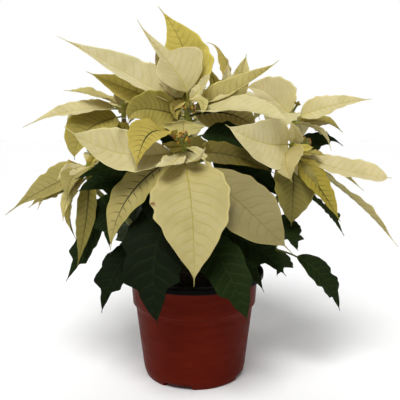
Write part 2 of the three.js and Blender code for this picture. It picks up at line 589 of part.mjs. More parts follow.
/** A cluster of small flowers: a stalk from the hub, a cushion, and buds fanned out on it. */
function flowerCluster(name) {
  const { hub, height, flowers } = BRANCHES[name];
  const centre = point(flowers.at);
  const foot = new THREE.Vector3(hub[0], hub[1], hub[2] + height * flowers.from);
  const direction = centre.clone().sub(foot).normalize();
  // the stalk leaves the hub square, from its top or from its side
  const onTop = flowers.from === 1;
  const outwards = onTop ? new THREE.Vector3(0, 0, 1) : direction.clone().setZ(0).normalize();
  const start = foot.addScaledVector(outwards, onTop ? CLEARANCE : HUB_RADIUS + CLEARANCE);
  const elbow = start.clone().addScaledVector(outwards, FLOWER_STALK);
  const solids = [bar([start, elbow, centre], FLOWER_STALK, 5, 3)];
  const cushion = new THREE.SphereGeometry(flowers.radius * CUSHION_RADIUS, 6, 4);
  cushion.translate(centre.x, centre.y, centre.z);
  solids.push(solidOf(cushion));
  // buds face out and forwards as well as up, as the stalk does
  const axis = direction.clone().add(new THREE.Vector3(0, 0, 1)).normalize();
  const upright = new THREE.Quaternion().setFromUnitVectors(new THREE.Vector3(0, 1, 0), axis);
  for (let i = 0; i < BUDS; i += 1) {
    const polar = Math.acos(1 - (BUD_DOME * (i + FIRST_BUD)) / BUDS);
    const turn = i * GOLDEN_ANGLE;
    const outward = new THREE.Vector3(
      Math.sin(polar) * Math.cos(turn),
      Math.cos(polar),
      Math.sin(polar) * Math.sin(turn),
    ).applyQuaternion(upright);
    const bud = new THREE.SphereGeometry(1, 5, 3);
    bud.scale(flowers.radius * BUD_RADIUS, flowers.radius * BUD_LENGTH, flowers.radius * BUD_RADIUS);
    bud.applyQuaternion(new THREE.Quaternion().setFromUnitVectors(new THREE.Vector3(0, 1, 0), outward));
    const seat = centre.clone().addScaledVector(outward, flowers.radius * BUD_SPREAD);
    bud.translate(seat.x, seat.y, seat.z);
    solids.push(solidOf(bud));
  }
  return fuse(solids);
}

// ---- pot, soil and main stem -----------------------------------------------------------------

/** Outside of the pot from the foot to the lip, as [radius, height]. */
const POT_OUTSIDE = [
  [FOOT_RADIUS - 2, 0],
  [FOOT_RADIUS, 1],
  ...FOOT_FLARE.map(([height, flare]) => [FOOT_RADIUS + flare, height]),
  [WALL_TOP_RADIUS, BAND_BOTTOM - 2],
  [BAND_FOOT_RADIUS, BAND_BOTTOM],
  [BAND_RADIUS, POT_HEIGHT - LIP_DEPTH],
  [LIP_RADIUS, POT_HEIGHT - LIP_DEPTH],
  [LIP_RADIUS, POT_HEIGHT - 1],
  [LIP_RADIUS - 1, POT_HEIGHT],
];

/** Inside of the pot from the lip down to the top of its floor. */
const POT_INSIDE = [
  [BAND_RADIUS - POT_WALL, POT_HEIGHT],
  [BAND_FOOT_RADIUS - POT_WALL, BAND_BOTTOM + 1],
  [WALL_TOP_RADIUS - POT_WALL, BAND_BOTTOM - 1.5],
  ...FOOT_FLARE.map(([height, flare]) => [FOOT_RADIUS + flare - POT_WALL, height]).reverse(),
];

function pot() {
  const floorTop = RAISED_FLOOR + POT_WALL;
  const shell = turned([
    [0, 0],
    [PAD_RADIUS, 0],
    [PAD_RADIUS + 3, RAISED_FLOOR],
    [FOOT_RING_INNER - 3, RAISED_FLOOR],
    [FOOT_RING_INNER, 0],
    ...POT_OUTSIDE,
    ...POT_INSIDE,
    [FOOT_RADIUS - POT_WALL, floorTop],
    [0, floorTop],
  ], POT_SIDES);
  const cuts = [];
  const notchDepth = LIP_RADIUS - FOOT_RING_INNER;
  for (let i = 0; i < NOTCH_COUNT; i += 1) {
    const start = THREE.MathUtils.degToRad(NOTCH_START - 90 + (360 / NOTCH_COUNT) * i);
    const end = start + THREE.MathUtils.degToRad(NOTCH_WIDTH);
    const sector = new THREE.Shape();
    sector.absarc(0, 0, FOOT_RING_INNER - 2, start, end, false);
    sector.absarc(0, 0, FOOT_RING_INNER + notchDepth, end, start, true);
    const notch = new THREE.ExtrudeGeometry(sector, {
      depth: RAISED_FLOOR + 1,
      bevelEnabled: false,
      curveSegments: 4,
    });
    notch.translate(0, 0, -1);
    cuts.push(solidOf(notch));
  }
  for (let i = 0; i < DRAIN_HOLES; i += 1) {
    const angle = (2 * Math.PI * i) / DRAIN_HOLES;
    const hole = new THREE.CylinderGeometry(DRAIN_HOLE_RADIUS, DRAIN_HOLE_RADIUS, 4 * floorTop, 8);
    hole.rotateX(Math.PI / 2);
    hole.translate(DRAIN_RING_RADIUS * Math.cos(angle), DRAIN_RING_RADIUS * Math.sin(angle), 0);
    cuts.push(solidOf(hole));
  }
  return cuts.reduce((body, cut) => body.subtract(cut), shell);
}

function soil() {
  const floor = RAISED_FLOOR + POT_WALL + CLEARANCE;
  const bore = TRUNK_RADIUS + 2 * CLEARANCE;
  const wall = POT_INSIDE
    .filter(([, height]) => height < SOIL_TOP)
    .map(([radius, height]) => [radius - CLEARANCE, height])
    .reverse();
  const rim = BAND_FOOT_RADIUS - POT_WALL - CLEARANCE;
  return turned([
    [0, floor],
    [FOOT_RADIUS - POT_WALL - 2 * CLEARANCE, floor],
    ...wall,
    [rim, SOIL_TOP],
    [bore, SOIL_TOP + SOIL_MOUND],
    [bore, TRUNK_BOTTOM - CLEARANCE],
    [0, TRUNK_BOTTOM - CLEARANCE],
  ], POT_SIDES);
}

function mainStem() {
  const middle = (SOIL_TOP + TRUNK_TOP) / 2;
  return turned([
    [0, TRUNK_BOTTOM],
    [TRUNK_RADIUS - 0.5, TRUNK_BOTTOM],
    [TRUNK_RADIUS, SOIL_TOP - 10],
    [TRUNK_RADIUS - 0.4, middle],
    [TRUNK_RADIUS, TRUNK_TOP - 12],
    [TRUNK_RADIUS - 0.1, TRUNK_TOP - 1],
    [TRUNK_RADIUS - 1, TRUNK_TOP],
    [0, TRUNK_TOP],
  ], TRUNK_SIDES);
}

// ---- the whole plant -------------------------------------------------------------------------

const poinsettia = new THREE.Group();
poinsettia.add(piece("pot", pot(), plastic));
poinsettia.add(piece("soil", soil(), peat));
poinsettia.add(piece("main_stem", mainStem(), bark));
for (const name of Object.keys(BRANCHES)) {
  poinsettia.add(piece(`stem_${name}`, leafyBranch(name), foliage));
  poinsettia.add(piece(`bracts_${name}`, head(name), cream));
  poinsettia.add(piece(`flowers_${name}`, flowerCluster(name), blossom));
}

export default poinsettia;
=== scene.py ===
"""A potted poinsettia round its CAD frame: pot, soil, woody stem, branches, leaves, bracts and flowers.

Shapes are worked out in millimetres, with +Z up and the plant's fullest side towards -Y, and are
put into their meshes in metres. Every leaf and bract is a surface of two parameters: s runs from
the foot of the blade to its tip, and a runs across it from -1 at one edge to 1 at the other.
"""
import math

import bpy
import numpy as np
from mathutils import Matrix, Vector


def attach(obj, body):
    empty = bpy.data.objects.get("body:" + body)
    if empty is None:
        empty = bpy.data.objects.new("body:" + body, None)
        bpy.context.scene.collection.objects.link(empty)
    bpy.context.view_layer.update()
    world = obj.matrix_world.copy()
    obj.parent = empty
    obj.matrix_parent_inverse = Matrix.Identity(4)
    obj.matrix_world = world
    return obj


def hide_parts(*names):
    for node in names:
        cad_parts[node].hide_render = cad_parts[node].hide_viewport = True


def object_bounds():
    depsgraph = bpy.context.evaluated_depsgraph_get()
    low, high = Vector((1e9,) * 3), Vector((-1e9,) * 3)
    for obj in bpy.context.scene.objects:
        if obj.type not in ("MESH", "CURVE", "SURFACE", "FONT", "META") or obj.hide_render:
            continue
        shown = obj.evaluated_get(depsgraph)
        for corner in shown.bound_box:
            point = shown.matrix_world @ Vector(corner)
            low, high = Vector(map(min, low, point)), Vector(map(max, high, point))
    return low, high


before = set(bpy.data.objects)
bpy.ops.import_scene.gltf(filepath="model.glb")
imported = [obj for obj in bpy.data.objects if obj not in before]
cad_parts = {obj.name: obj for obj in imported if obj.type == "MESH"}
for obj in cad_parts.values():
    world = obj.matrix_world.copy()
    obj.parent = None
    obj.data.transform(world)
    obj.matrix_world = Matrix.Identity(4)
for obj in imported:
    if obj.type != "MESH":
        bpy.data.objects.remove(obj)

bl_info = {
    "name": "Potted poinsettia",
    "version": (1, 0, 0),
    "blender": (4, 5, 0),
    "location": "View3D > Sidebar > Poinsettia",
    "description": "Builds a cream poinsettia with its pot, soil, stems, leaves, bracts and flowers",
    "category": "Add Mesh",
}

MM = 0.001  # the script's shapes are in millimetres
TURN = 2 * math.pi
GOLDEN_ANGLE = math.pi * (3 - math.sqrt(5))
CAD_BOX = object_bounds()


def paint(red, green, blue):
    """A colour given by its screen values from 0 to 255, as the linear colour that shaders use."""
    return tuple(
        v / 255 / 12.92 if v <= 10 else ((v / 255 + 0.055) / 1.055) ** 2.4 for v in (red, green, blue)
    )


# ---- the plant's plan --------------------------------------------------------------------------
# Eight branches. hub: foot of the head on the branch's top; height: of the hub; fork: height where
# the branch leaves the trunk; lean and climb shape its curve; flowers: middle and radius of the
# cluster, and how far up the hub its stalk starts.

TRUNK_RADIUS = 6
TRUNK_TOP = 150
BRANCH_RADIUS = 3.2
BRANCH_GAP = 0.4
BRANCH_STUB = 3
BRANCH_NECK = 6
TOP_BRANCH_PULL = 50
HUB_RADIUS = 3.1

BRANCHES = {
    "top": dict(hub=(-8, 6, 292), height=22, flowers=((-5, -15, 305), 7.5, 0.53)),
    "front": dict(hub=(-11, -50, 256), height=20, fork=140, lean=(0.62, 1), climb=(3, 0.45),
                  flowers=((-11, -72, 275), 9, 0.75)),
    "right": dict(hub=(106, -24, 252), height=18, fork=120, lean=(1, 1), climb=(10, 0.45),
                  flowers=((120, -26, 270), 6, 0.9)),
    "left": dict(hub=(-115, -20, 230), height=18, fork=125, lean=(0.4, 0.74), climb=(20, 0.72),
                 flowers=((-112, -14, 258), 7, 1)),
    "back_right": dict(hub=(46, 60, 298), height=18, fork=130, lean=(0.5, 1), climb=(12, 0.5),
                       flowers=((54, 61, 325), 7, 0.9)),
    "back_left": dict(hub=(-84, 48, 294), height=20, fork=138, lean=(0.25, 0.8), climb=(30, 0.6),
                      flowers=((-80, 56, 323), 7, 1)),
    "back": dict(hub=(-6, 100, 276), height=20, fork=146, lean=(0.6, 1), climb=(6, 0.45),
                 flowers=((-6, 100, 304), 8, 1)),
    "upper_right": dict(hub=(112, 10, 282), height=20, fork=142, lean=(0.62, 1), climb=(3, 0.45),
                        flowers=((115, 4, 310), 3.8, 1)),
}

# Forms of blade. stalk: the share of the blade's length that is bare stalk; taper: how fast the blade
# widens from the stalk and narrows to the tip; drip: the share of it that is a thin, thread-like tip;
# rows and columns: of its surface; veins: pairs of side veins; rib: how far the midrib stands out
# underneath; stalk_depth: half the stalk's depth; fold: degrees that each half rises from the midrib;
# ruffle: height of the finer waves along the edge; strip: half width of a strip beside the thin tip;
# bow_far: the bow of the outer half, where it differs; spot: a small dead patch's share of the blade,
# its side of it and its radius; dark: how dark green the midrib is, where it isn't the tint's.
ANY_BLADE = dict(stalk=0.1, fold=18, ruffle=0.7, strip=0, bow_far=None, spot=None, dark=None)
BRACT = dict(
    ANY_BLADE, kind="bract", taper=(0.75, 1.25), drip=0.05, rows=64, columns=24, veins=13, rib=0.7,
    stalk_depth=1.1)
SMALL = dict(
    ANY_BLADE, kind="bract", taper=(0.8, 1), drip=0.03, rows=36, columns=12, veins=6, rib=0.4,
    stalk_depth=0.8)
LEAF = dict(
    ANY_BLADE, kind="leaf", stalk=0.25, taper=(0.62, 1), drip=0.04, rows=60, columns=24, veins=10,
    rib=0.9, stalk_depth=1.1, lobing=1, tint="green",
    # the width steps in after each of the two lobes down a leaf's side
    lobes=((0, 0.9), (0.22, 0.94), (0.415, 1.07), (0.475, 0.9), (0.655, 1.33), (0.715, 0.66), (1, 0.9)))


def bract(tip, width, face, bow, start, tint, form=BRACT, **more):
    """A bract's plan. tip: where it ends; width: at its widest; face: the way its upper side looks;
    bow: how far its middle stands off a straight line; start: how far up the hub it grows; tint: its
    colour; more: what differs from its form."""
    return dict(form, tip=tip, width=width, face=face, bow=bow, start=start, tint=tint, **more)


def small(*plan, **more):
    """The plan of one of the small bracts round the flowers."""
    return bract(*plan, form=SMALL, **more)


def leaf(start, tip, width, face, bow, **more):
    """A leaf's plan, as a bract's; start: how far up the branch it grows."""
    return dict(LEAF, start=start, tip=tip, width=width, face=face, bow=bow, **more)


BRACTS = {
    "top": [
        bract((102, -62, 291), 55, (0.1, -0.5, 1), (5, -8, 9), 0.4, "cream", taper=(0.84, 1.25)),
        bract((-62, 8, 402), 76, (0.75, -1, 0.2), (18, -8, -2), 0.9, "cream", bow_far=(1, -6, -5),
              fold=24, taper=(1.2, 0.9), drip=0.49, strip=9),
        bract((-149, 0, 384), 47, (-0.1, -1, 0.9), (-4, 0, 3), 0.7, "pale", fold=34, taper=(0.45, 1.4)),
        bract((-70, -32, 292), 42, (-0.2, -1, 0.1), (-12, -7, 10), 0.15, "olive", bow_far=(-12, -8, 14),
              taper=(0.7, 0.8)),
        bract((93, 0, 358), 32, (0, -0.9, 0.8), (2, 0, -7), 0.7, "tan", fold=45),
        bract((-41, 34, 420), 60, (0.1, -1, 0.1), (14, 8, 0), 1, "yellow_green", taper=(0.75, 1.7)),
        bract((-122, 20, 347), 36, (-0.1, -1, 0.5), (-4, -2, 0), 0.5, "yellow_green"),
        bract((72, -14, 280), 54, (0.1, -1, 0.4), (5, 4, 12), 0.2, "tan", dark=1),
        small((-24, -16, 300), 13, (-0.2, -1, 0.3), (-3, -2, 3), 0.97, "yellow"),
        small((-17, -20, 293), 12, (0, -1, 0.2), (-7, -4, 4), 0.75, "olive"),
        small((8, -26, 299), 14, (0.2, -1, 0.3), (9, -4, 8), 0.9, "tan"),
        small((18, -4, 345), 16, (-0.3, -0.8, 0.5), (2, -2, -2), 0.95, "cream"),
        bract((-42, 14, 379), 26, (0.3, -1, 0.2), (-8, 3, 0), 0.95, "cream", taper=(0.6, 1.25)),
        bract((-50, 26, 358), 40, (0.2, -1, 0.4), (-4, 7, 0), 0.5, "olive", taper=(0.6, 1.25)),
    ],
    "front": [
        # this bract's tint is darkened in part as painted shade
        bract((1, -128, 141), 78, (0, -1, 0.35), (4, -22, 10), 0.2, "buff_painted_shade", fold=8, taper=(0.85, 1.3),
              spot=(0.4, 0.93, 3)),
        bract((-123, -95, 290), 50, (0.1, -1, 0.75), (-4, -6, -14), 0.4, "cream", taper=(0.85, 0.85),
              drip=0.1),
        bract((-55, -102, 248), 44, (-0.3, -0.8, 0.6), (-14, 10, 32), 0.55, "veined",
              bow_far=(-8, -6, 16)),
        bract((-82, -95, 168), 46, (-0.6, -0.8, 0.5), (-16, -8, 8), 0.25, "veined_tan", fold=8,
              taper=(0.6, 1)),
        # this bract's tint is darkened as painted shade
        bract((100, -94, 163), 60, (0.1, -1, 0.45), (0, -8, 4), 0.2, "painted_shade_grey_cream", fold=8,
              taper=(1.5, 1.15), drip=0.09),
        bract((22, -58, 256), 30, (0.1, -1, 0.3), (0, -2, 4), 0.3, "deep_shade"),
        bract((84, -57, 240), 25, (0.1, -1, 0.5), (0, -7, 10), 0.15, "deep_shade"),
        bract((-10, -40, 295), 46, (0, -1, 0.3), (0, 6, 2), 0.9, "tan", taper=(0.9, 0.5)),
        small((-37, -94, 253), 20, (-0.2, -1, 1), (2, -16, -4), 0.3, "cream", taper=(0.6, 0.4)),
        small((12, -90, 270), 15, (0, -1, 0.8), (2, -12, -10), 0.3, "cream", taper=(0.7, 0.6)),
        small((-31, -74, 273), 12, (0, -1, 0.3), (-2, -4, -2), 0.6, "olive"),
        small((18, -68, 236), 9, (0.6, -1, 0), (6, -2, 8), 0.5, "cream"),
    ],
    "right": [
        bract((214, -30, 232), 36, (0, -0.7, 1), (2, 0, -5), 0.4, "cream", taper=(0.9, 0.6)),
        bract((32, -72, 291), 56, (-0.1, -1, 0.3), (0, -10, -7), 0.9, "cream", taper=(0.5, 1.1),
              ruffle=0.3),
        bract((101, -66, 232), 42, (-0.3, -1, 0.4), (-8, -4, 6), 0.7, "buff_painted_shade"),
        bract((239, 12, 145), 32, (0.8, 0.1, 0.6), (6, -2, 6), 0.2, "tan"),
        bract((199, 24, 210), 26, (0, -0.4, 1), (0, 0, 8), 0.2, "tan"),
        bract((154, -56, 189), 32, (0.5, -1, 0.5), (3, -4, -1), 0.45, "veined_olive"),
        bract((105, -38, 180), 52, (0.3, -1, 0.2), (0, -13, 3), 0.32, "shade"),
        small((126, -42, 266), 12, (0, -1, 0.5), (-4, -8, 0), 0.6, "yellow_green"),
        small((140, -34, 257), 14, (0, -0.6, 1), (0, 2, 0), 0.5, "olive"),
        small((101, -44, 292), 20, (-0.4, -1, 0.2), (4, -4, 0), 0.9, "cream"),
        small((108, -54, 238), 16, (-0.6, -1, 0.2), (-3, -6, 2), 0.8, "cream"),
    ],
    "left": [
        bract((-201, -44, 194), 44, (-0.2, -0.8, 0.8), (-1, -6, 5), 0.5, "dull", taper=(0.5, 1.9)),
        bract((-185, -14, 196), 26, (-0.1, -0.8, 0.7), (-4, 0, 2), 0.3, "dull"),
        bract((-129, -66, 214), 30, (-0.3, -1, 0.6), (-4, -12, 8), 0.6, "dull"),
        bract((-125, -52, 138), 24, (-0.2, -1, 0.2), (6, -10, 6), 0.35, "shade", taper=(0.6, 1.3)),
        bract((-130, -26, 162), 20, (-0.9, -0.5, 0.2), (-12, -8, 4), 0.2, "olive"),
        small((-137, -56, 190), 14, (-0.3, -1, 0.2), (-4, -12, 4), 0.4, "tan"),
        small((-103, -34, 256), 13, (0.2, -1, 0.5), (2, -4, 4), 0.72, "yellow_green"),
        small((-124, -60, 226), 17, (-0.2, -1, 0.5), (-2, -6, 4), 0.7, "cream"),
        small((-144, -44, 232), 15, (-0.2, -1, 0.5), (-2, -4, 4), 0.68, "cream"),
    ],
    "back_right": [
        bract((15, 60, 382), 24, (-0.6, 0.2, 0.6), (6, 6, 8), 0.7, "yellow", bow_far=(9, 6, 17)),
        bract((62, 58, 369), 24, (0, -1, 0.2), (0, -10, 0), 0.5, "tan"),
        bract((40, 50, 359), 20, (0.2, -1, 0.2), (-4, -8, -2), 0.4, "cream"),
    ],
    "back_left": [
        bract((-191, 0, 285), 32, (-0.1, -0.7, 1), (-4, -4, 8), 0.5, "cream", taper=(0.6, 1.6)),
        bract((-150, 28, 326), 24, (0, -0.4, 1), (0, 0, 4), 0.7, "tan"),
        bract((-135, 2, 248), 52, (-0.3, -1, 0.2), (-14, -6, 8), 0.1, "olive", taper=(0.6, 0.9)),
        small((-74, 18, 300), 18, (0, -1, 0.3), (0, -6, 6), 0.3, "olive"),
        small((-88, 20, 339), 20, (0.3, -1, 0.3), (0, -8, 0), 0.8, "cream"),
    ],
    "upper_right": [
        bract((191, -20, 316), 30, (-0.1, -0.8, 0.7), (0, -2, 4), 0.6, "cream", taper=(0.6, 1.3)),
        bract((172, 26, 278), 30, (0.2, -0.6, 1), (4, 0, 8), 0.3, "olive"),
        bract((151, -14, 260), 13, (0.3, 0.5, 1), (8, -2, 6), 0.4, "cream"),
        bract((58, 36, 328), 52, (0.3, -1, 0.1), (-2, 8, 13), 0.6, "cream"),
        bract((90, -22, 272), 42, (-0.2, -1, 0.4), (-6, -3, 16), 0.6, "cream"),
    ],
}

LEAVES = {
    "top": [
        leaf(0.72, (94, -38, 211), 50, (0.1, -1, 0.4), (6, -2, 15)),
        leaf(0.88, (78, -44, 243), 34, (0.2, -0.9, 0.6), (-2, -14, 21)),
        leaf(0.35, (76, -50, 110), 30, (0.2, -1, 0.2), (4, -8, 10)),
        leaf(0.7, (-47, 6, 293), 24, (0, -1, 0.6), (-2, 0, 6)),
        leaf(0.6, (-40, -20, 262), 30, (-0.2, -1, 0.3), (-2, -6, 6)),
    ],
    "front": [
        leaf(0.45, (54, -110, 99), 46, (0.1, -1, 0.3), (2, -18, 26), lobing=0.4),
        leaf(0.5, (97, -66, 133), 46, (0.2, -1, 0.6), (4, -4, 18)),
        leaf(0.75, (-35, -112, 96), 64, (-0.1, -1, 0.3), (-14, -14, 20), stalk=0.12, taper=(0.5, 0.9),
             lobing=0.8, tint="deep_green"),
        leaf(0.9, (-36, -80, 184), 28, (-0.4, -1, 0.2), (-14, -8, 4), stalk=0.15, lobing=0.3,
             tint="deep_green"),
        leaf(0.74, (-120, -66, 222), 46, (0, -1, 0.6), (0, 8, 18)),
        leaf(0.88, (-118, -80, 237), 22, (-0.2, -1, 0.6), (-4, 14, 12)),
    ],
    "right": [
        leaf(0.86, (164, -34, 169), 22, (0.8, 0.2, 0.4), (2, 4, 10)),
        leaf(0.8, (110, -60, 159), 36, (0.6, -1, 0.2), (-8, 10, -4)),
        leaf(0.42, (167, -16, 77), 28, (0.5, -1, 0.4), (8, -8, 15)),
    ],
    "left": [
        leaf(0.35, (-97, -70, 94), 34, (-0.3, -1, 0.2), (-5, -10, 20), taper=(0.55, 1),
             tint="deep_green"),
        leaf(0.9, (-90, -52, 160), 30, (-0.2, -1, 0.2), (6, -8, 8), stalk=0.15),
        leaf(0.84, (-141, -36, 118), 30, (-0.4, -1, 0.3), (10, -8, 10), stalk=0.12, taper=(0.4, 1)),
    ],
    "back_right": [
        leaf(0.93, (15, 24, 353), 30, (0, -1, 0.3), (0, -4, 4), tint="yellow_green", dark=1),
    ],
    "back_left": [
        leaf(0.75, (-102, 44, 299), 22, (0, -1, 0.3), (2, 4, 3), stalk=0.1, tint="veined"),
    ],
    "upper_right": [
        leaf(0.86, (174, 30, 262), 24, (0.2, -0.8, 0.4), (2, 0, 16), stalk=0.1, taper=(0.62, 1.4)),
    ],
}

# Bracts round the backs of the heads, one for each azimuth (degrees from +X towards +Y): reach is
# from the hub outwards, lift is the tip's height over the hub's foot, arch is outwards and up.
BRACT_FANS = {
    "top": [dict(azimuth=(82, 118), reach=(80, 84), lift=(36, 46), width=36, arch=(0, 8), start=0.6)],
    "right": [dict(azimuth=(50,), reach=(56,), lift=(-54,), width=24, arch=(6, 10), start=0.2)],
    "left": [dict(azimuth=(74, 112, 150), reach=(78, 84, 80), lift=(6, -22, -42), width=38,
                  arch=(4, 14), start=0.5)],
    "back_right": [dict(azimuth=(30, 66, 108), reach=(92, 106, 88), lift=(4, -10, 14), width=46,
                        arch=(4, 14), start=0.5)],
    "back_left": [dict(azimuth=(60, 98, 148), reach=(86, 100, 98), lift=(18, -4, -14), width=42,
                       arch=(4, 14), start=0.5)],
    "back": [
        dict(azimuth=(8, 50, 92, 134, 176), reach=(84, 100, 106, 100, 84), lift=(2, -22, -38, -24, 4),
             width=50, arch=(6, 18), start=0.5),
        dict(azimuth=(236, 312), reach=(36, 34), lift=(26, 26), width=18, arch=(4, 4), start=0.8,
             form=SMALL),
    ],
    "upper_right": [dict(azimuth=(72, 118), reach=(74, 84), lift=(-18, 6), width=40, arch=(4, 14),
                         start=0.5)],
}

# Leaves round the back, one for each azimuth: reach is from the pot's axis, height is the tip's.
LEAF_FANS = {
    "top": dict(start=(0.3, 0.3), azimuth=(72, 120), reach=(110, 110), height=(108, 104), width=42,
                arch=(8, 22)),
    "right": dict(start=(0.3, 0.3), azimuth=(6, 40), reach=(98, 100), height=(110, 106), width=40,
                  arch=(8, 22)),
    "left": dict(start=(0.7, 0.5, 0.25, 0.25), azimuth=(140, 128, 184, 158), reach=(158, 130, 98, 100),
                 height=(156, 108, 110, 106), width=42, arch=(9, 20)),
    "back_right": dict(start=(0.75, 0.5), azimuth=(46, 66), reach=(176, 140), height=(200, 128),
                       width=48, arch=(14, 20)),
    "back_left": dict(start=(0.75, 0.5), azimuth=(138, 126), reach=(186, 144), height=(190, 120),
                      width=50, arch=(14, 20)),
    "back": dict(start=(0.8, 0.7, 0.55, 0.4), azimuth=(66, 114, 88, 98), reach=(184, 180, 160, 116),
                 height=(186, 176, 140, 98), width=52, arch=(14, 22)),
    "upper_right": dict(start=(0.75, 0.5), azimuth=(36, 42), reach=(176, 132), height=(186, 116),
                        width=46, arch=(10, 18)),
}

# Each tint: the blade's colour, its veins' colour, and how dark green its midrib is.
TINTS = {
    "pale": (paint(216, 208, 166), paint(192, 178, 106), 0.0),
    "cream": (paint(207, 196, 150), paint(189, 174, 74), 0.0),
    # painted shade, in part: cream darkened for the lower front bracts, which lie partly in the shade
    # of those above
    "buff_painted_shade": (paint(185, 172, 119), paint(166, 151, 46), 0.05),
    # painted shade: greyed cream darkened to stand for the shadow that the bracts above cast on the
    # front-right bract
    "painted_shade_grey_cream": (paint(146, 136, 91), paint(126, 116, 54), 0.1),
    "yellow": (paint(198, 180, 102), paint(160, 142, 52), 0.05),
    "dull": (paint(160, 148, 86), paint(116, 106, 42), 0.25),
    "tan": (paint(198, 186, 124), paint(152, 138, 54), 0.15),
    "yellow_green": (paint(199, 182, 92), paint(138, 128, 14), 0.2),
    "olive": (paint(166, 152, 76), paint(108, 98, 28), 0.3),
    "veined": (paint(180, 162, 76), paint(100, 94, 28), 1.0),
    "veined_olive": (paint(160, 145, 54), paint(88, 84, 22), 1.0),
    "veined_tan": (paint(166, 153, 94), paint(112, 104, 44), 1.0),
    # painted shade: the next two are olive darkened to stand for bracts deep in the shadow of others
    "shade": (paint(126, 116, 56), paint(84, 78, 24), 0.4),
    "deep_shade": (paint(92, 82, 26), paint(66, 62, 18), 0.3),
    "green": (paint(24, 37, 9), paint(52, 68, 27), 0.0),
    "deep_green": (paint(13, 22, 5), paint(34, 48, 16), 0.0),
}
STALK_TINT = {"bract": paint(150, 152, 62), "leaf": paint(92, 98, 40)}
DARK_RIB = paint(24, 34, 14)
UNDERSIDE = paint(58, 70, 38)
SPOT = paint(110, 22, 5)


# ---- curves and surfaces -----------------------------------------------------------------------

def smooth(x, low, high):
    """0 below low and 1 above high, with an S-shaped rise between them."""
    t = np.clip((x - low) / (high - low), 0, 1)
    return t * t * (3 - 2 * t)


def unit(vectors):
    """Vectors of length 1."""
    return vectors / np.linalg.norm(vectors, axis=-1, keepdims=True)


def flattened(vector, normals):
    """The vector without its part along each unit normal, at length 1."""
    return unit(vector - (normals @ vector)[..., None] * normals)


def round_angles(count):
    """Evenly spaced angles of one turn."""
    return TURN * np.arange(count) / count


def waves(x, rng, lowest, highest):
    """A smooth random line with values of about -1 to 1: a sum of sines of random phase."""
    counts = np.arange(lowest, highest + 1)
    phases = rng.uniform(0, TURN, len(counts))
    return np.sin(TURN * np.multiply.outer(x, counts) + phases).sum(-1) / math.sqrt(len(counts))


def cubic(controls, t):
    """Places on the cubic curve of four control points at its parameters t."""
    p0, p1, p2, p3 = np.asarray(controls, float)
    t = np.asarray(t, float)[:, None]
    return (1 - t) ** 3 * p0 + 3 * (1 - t) ** 2 * t * p1 + 3 * (1 - t) * t * t * p2 + t ** 3 * p3


def lengths(line):
    """How far along a finely drawn line each of its points lies."""
    return np.concatenate([[0], np.cumsum(np.linalg.norm(np.diff(line, axis=0), axis=1))])


def along(line, shares):
    """Places and directions at shares of a finely drawn line's own length, and that length."""
    length = lengths(line)
    at = np.asarray(shares) * length[-1]
    places, directions = (
        np.stack([np.interp(at, length, values[:, i]) for i in range(3)], -1)
        for values in (line, np.gradient(line, length, axis=0))
    )
    return places, unit(directions), length[-1]


class Surface:
    """Points, faces of four and three corners, and values of each point, such as its tint."""

    def __init__(self, points, fours, threes):
        self.points, self.fours, self.threes = points, fours, threes
        self.values = {}

    def give(self, **values):
        """Sets values of every point, where one value may stand for all, and gives the surface back."""
        for name, value in values.items():
            value = np.asarray(value, float)
            if value.ndim < 2:
                value = np.broadcast_to(value, (len(self.points), max(1, value.size)))
            self.values[name] = value
        return self


def joined(surfaces):
    """Several surfaces as one, with the values that all of them have."""
    starts = np.cumsum([0] + [len(s.points) for s in surfaces])
    whole = Surface(
        np.concatenate([s.points for s in surfaces]),
        np.concatenate([s.fours + start for s, start in zip(surfaces, starts)]),
        np.concatenate([s.threes + start for s, start in zip(surfaces, starts)]),
    )
    names = surfaces[0].values
    return whole.give(**{name: np.concatenate([s.values[name] for s in surfaces]) for name in names})


def ring_faces(rows, ring):
    """Faces between neighbouring rows of closed rings, each of the same number of points."""
    row, place = np.meshgrid(np.arange(rows - 1), np.arange(ring), indexing="ij")
    after = (place + 1) % ring
    low, high = row * ring, (row + 1) * ring
    return np.stack([low + place, low + after, high + after, high + place], -1).reshape(-1, 4)


def closed(rings, first, last, step=1):
    """Rows of rings of points, closed by a first and a last point. A step of -1 turns it inside out."""
    rows, ring = rings.shape[:2]
    place = np.arange(ring)
    after = (place + 1) % ring
    last_row = (rows - 1) * ring
    threes = np.concatenate([
        np.stack([np.full(ring, rows * ring), after, place], -1),
        np.stack([np.full(ring, rows * ring + 1), last_row + place, last_row + after], -1),
    ])
    points = np.concatenate([rings.reshape(-1, 3), [first, last]])
    return Surface(points, ring_faces(rows, ring)[:, ::step], threes[:, ::step])


def tube(line, radii, ring, flat=(0, 0, 1)):
    """A round bar along a line: each point is the line's place plus the radius there times
    (cos angle * side + sin angle * up)."""
    ahead = unit(np.gradient(line, lengths(line), axis=0))
    side = unit(np.cross(ahead, flat))
    up = np.cross(side, ahead)
    angle = round_angles(ring)
    turn = np.cos(angle)[None, :, None] * side[:, None] + np.sin(angle)[None, :, None] * up[:, None]
    return closed(line[:, None] + np.asarray(radii)[:, None, None] * turn, line[0], line[-1], step=-1)


def turned(profile, angles):
    """A profile of (radius, height), whose two ends lie on the Z axis, carried round that axis."""
    profile = np.asarray(profile, float)
    radius, height = profile[1:-1, 0][:, None], profile[1:-1, 1][:, None]
    rings = np.stack([radius * np.cos(angles), radius * np.sin(angles), height + 0 * angles], -1)
    return closed(rings, [0, 0, profile[0, 1]], [0, 0, profile[-1, 1]])


def filled_in(profile, step):
    """A profile with points added so that none of its straight stretches is longer than the step."""
    out = [profile[0]]
    for (x0, y0), (x1, y1) in zip(profile[:-1], profile[1:]):
        count = max(1, int(math.hypot(x1 - x0, y1 - y0) / step))
        out += [(x0 + (x1 - x0) * k / count, y0 + (y1 - y0) * k / count) for k in range(1, count + 1)]
    return out


# ---- blades ------------------------------------------------------------------------------------

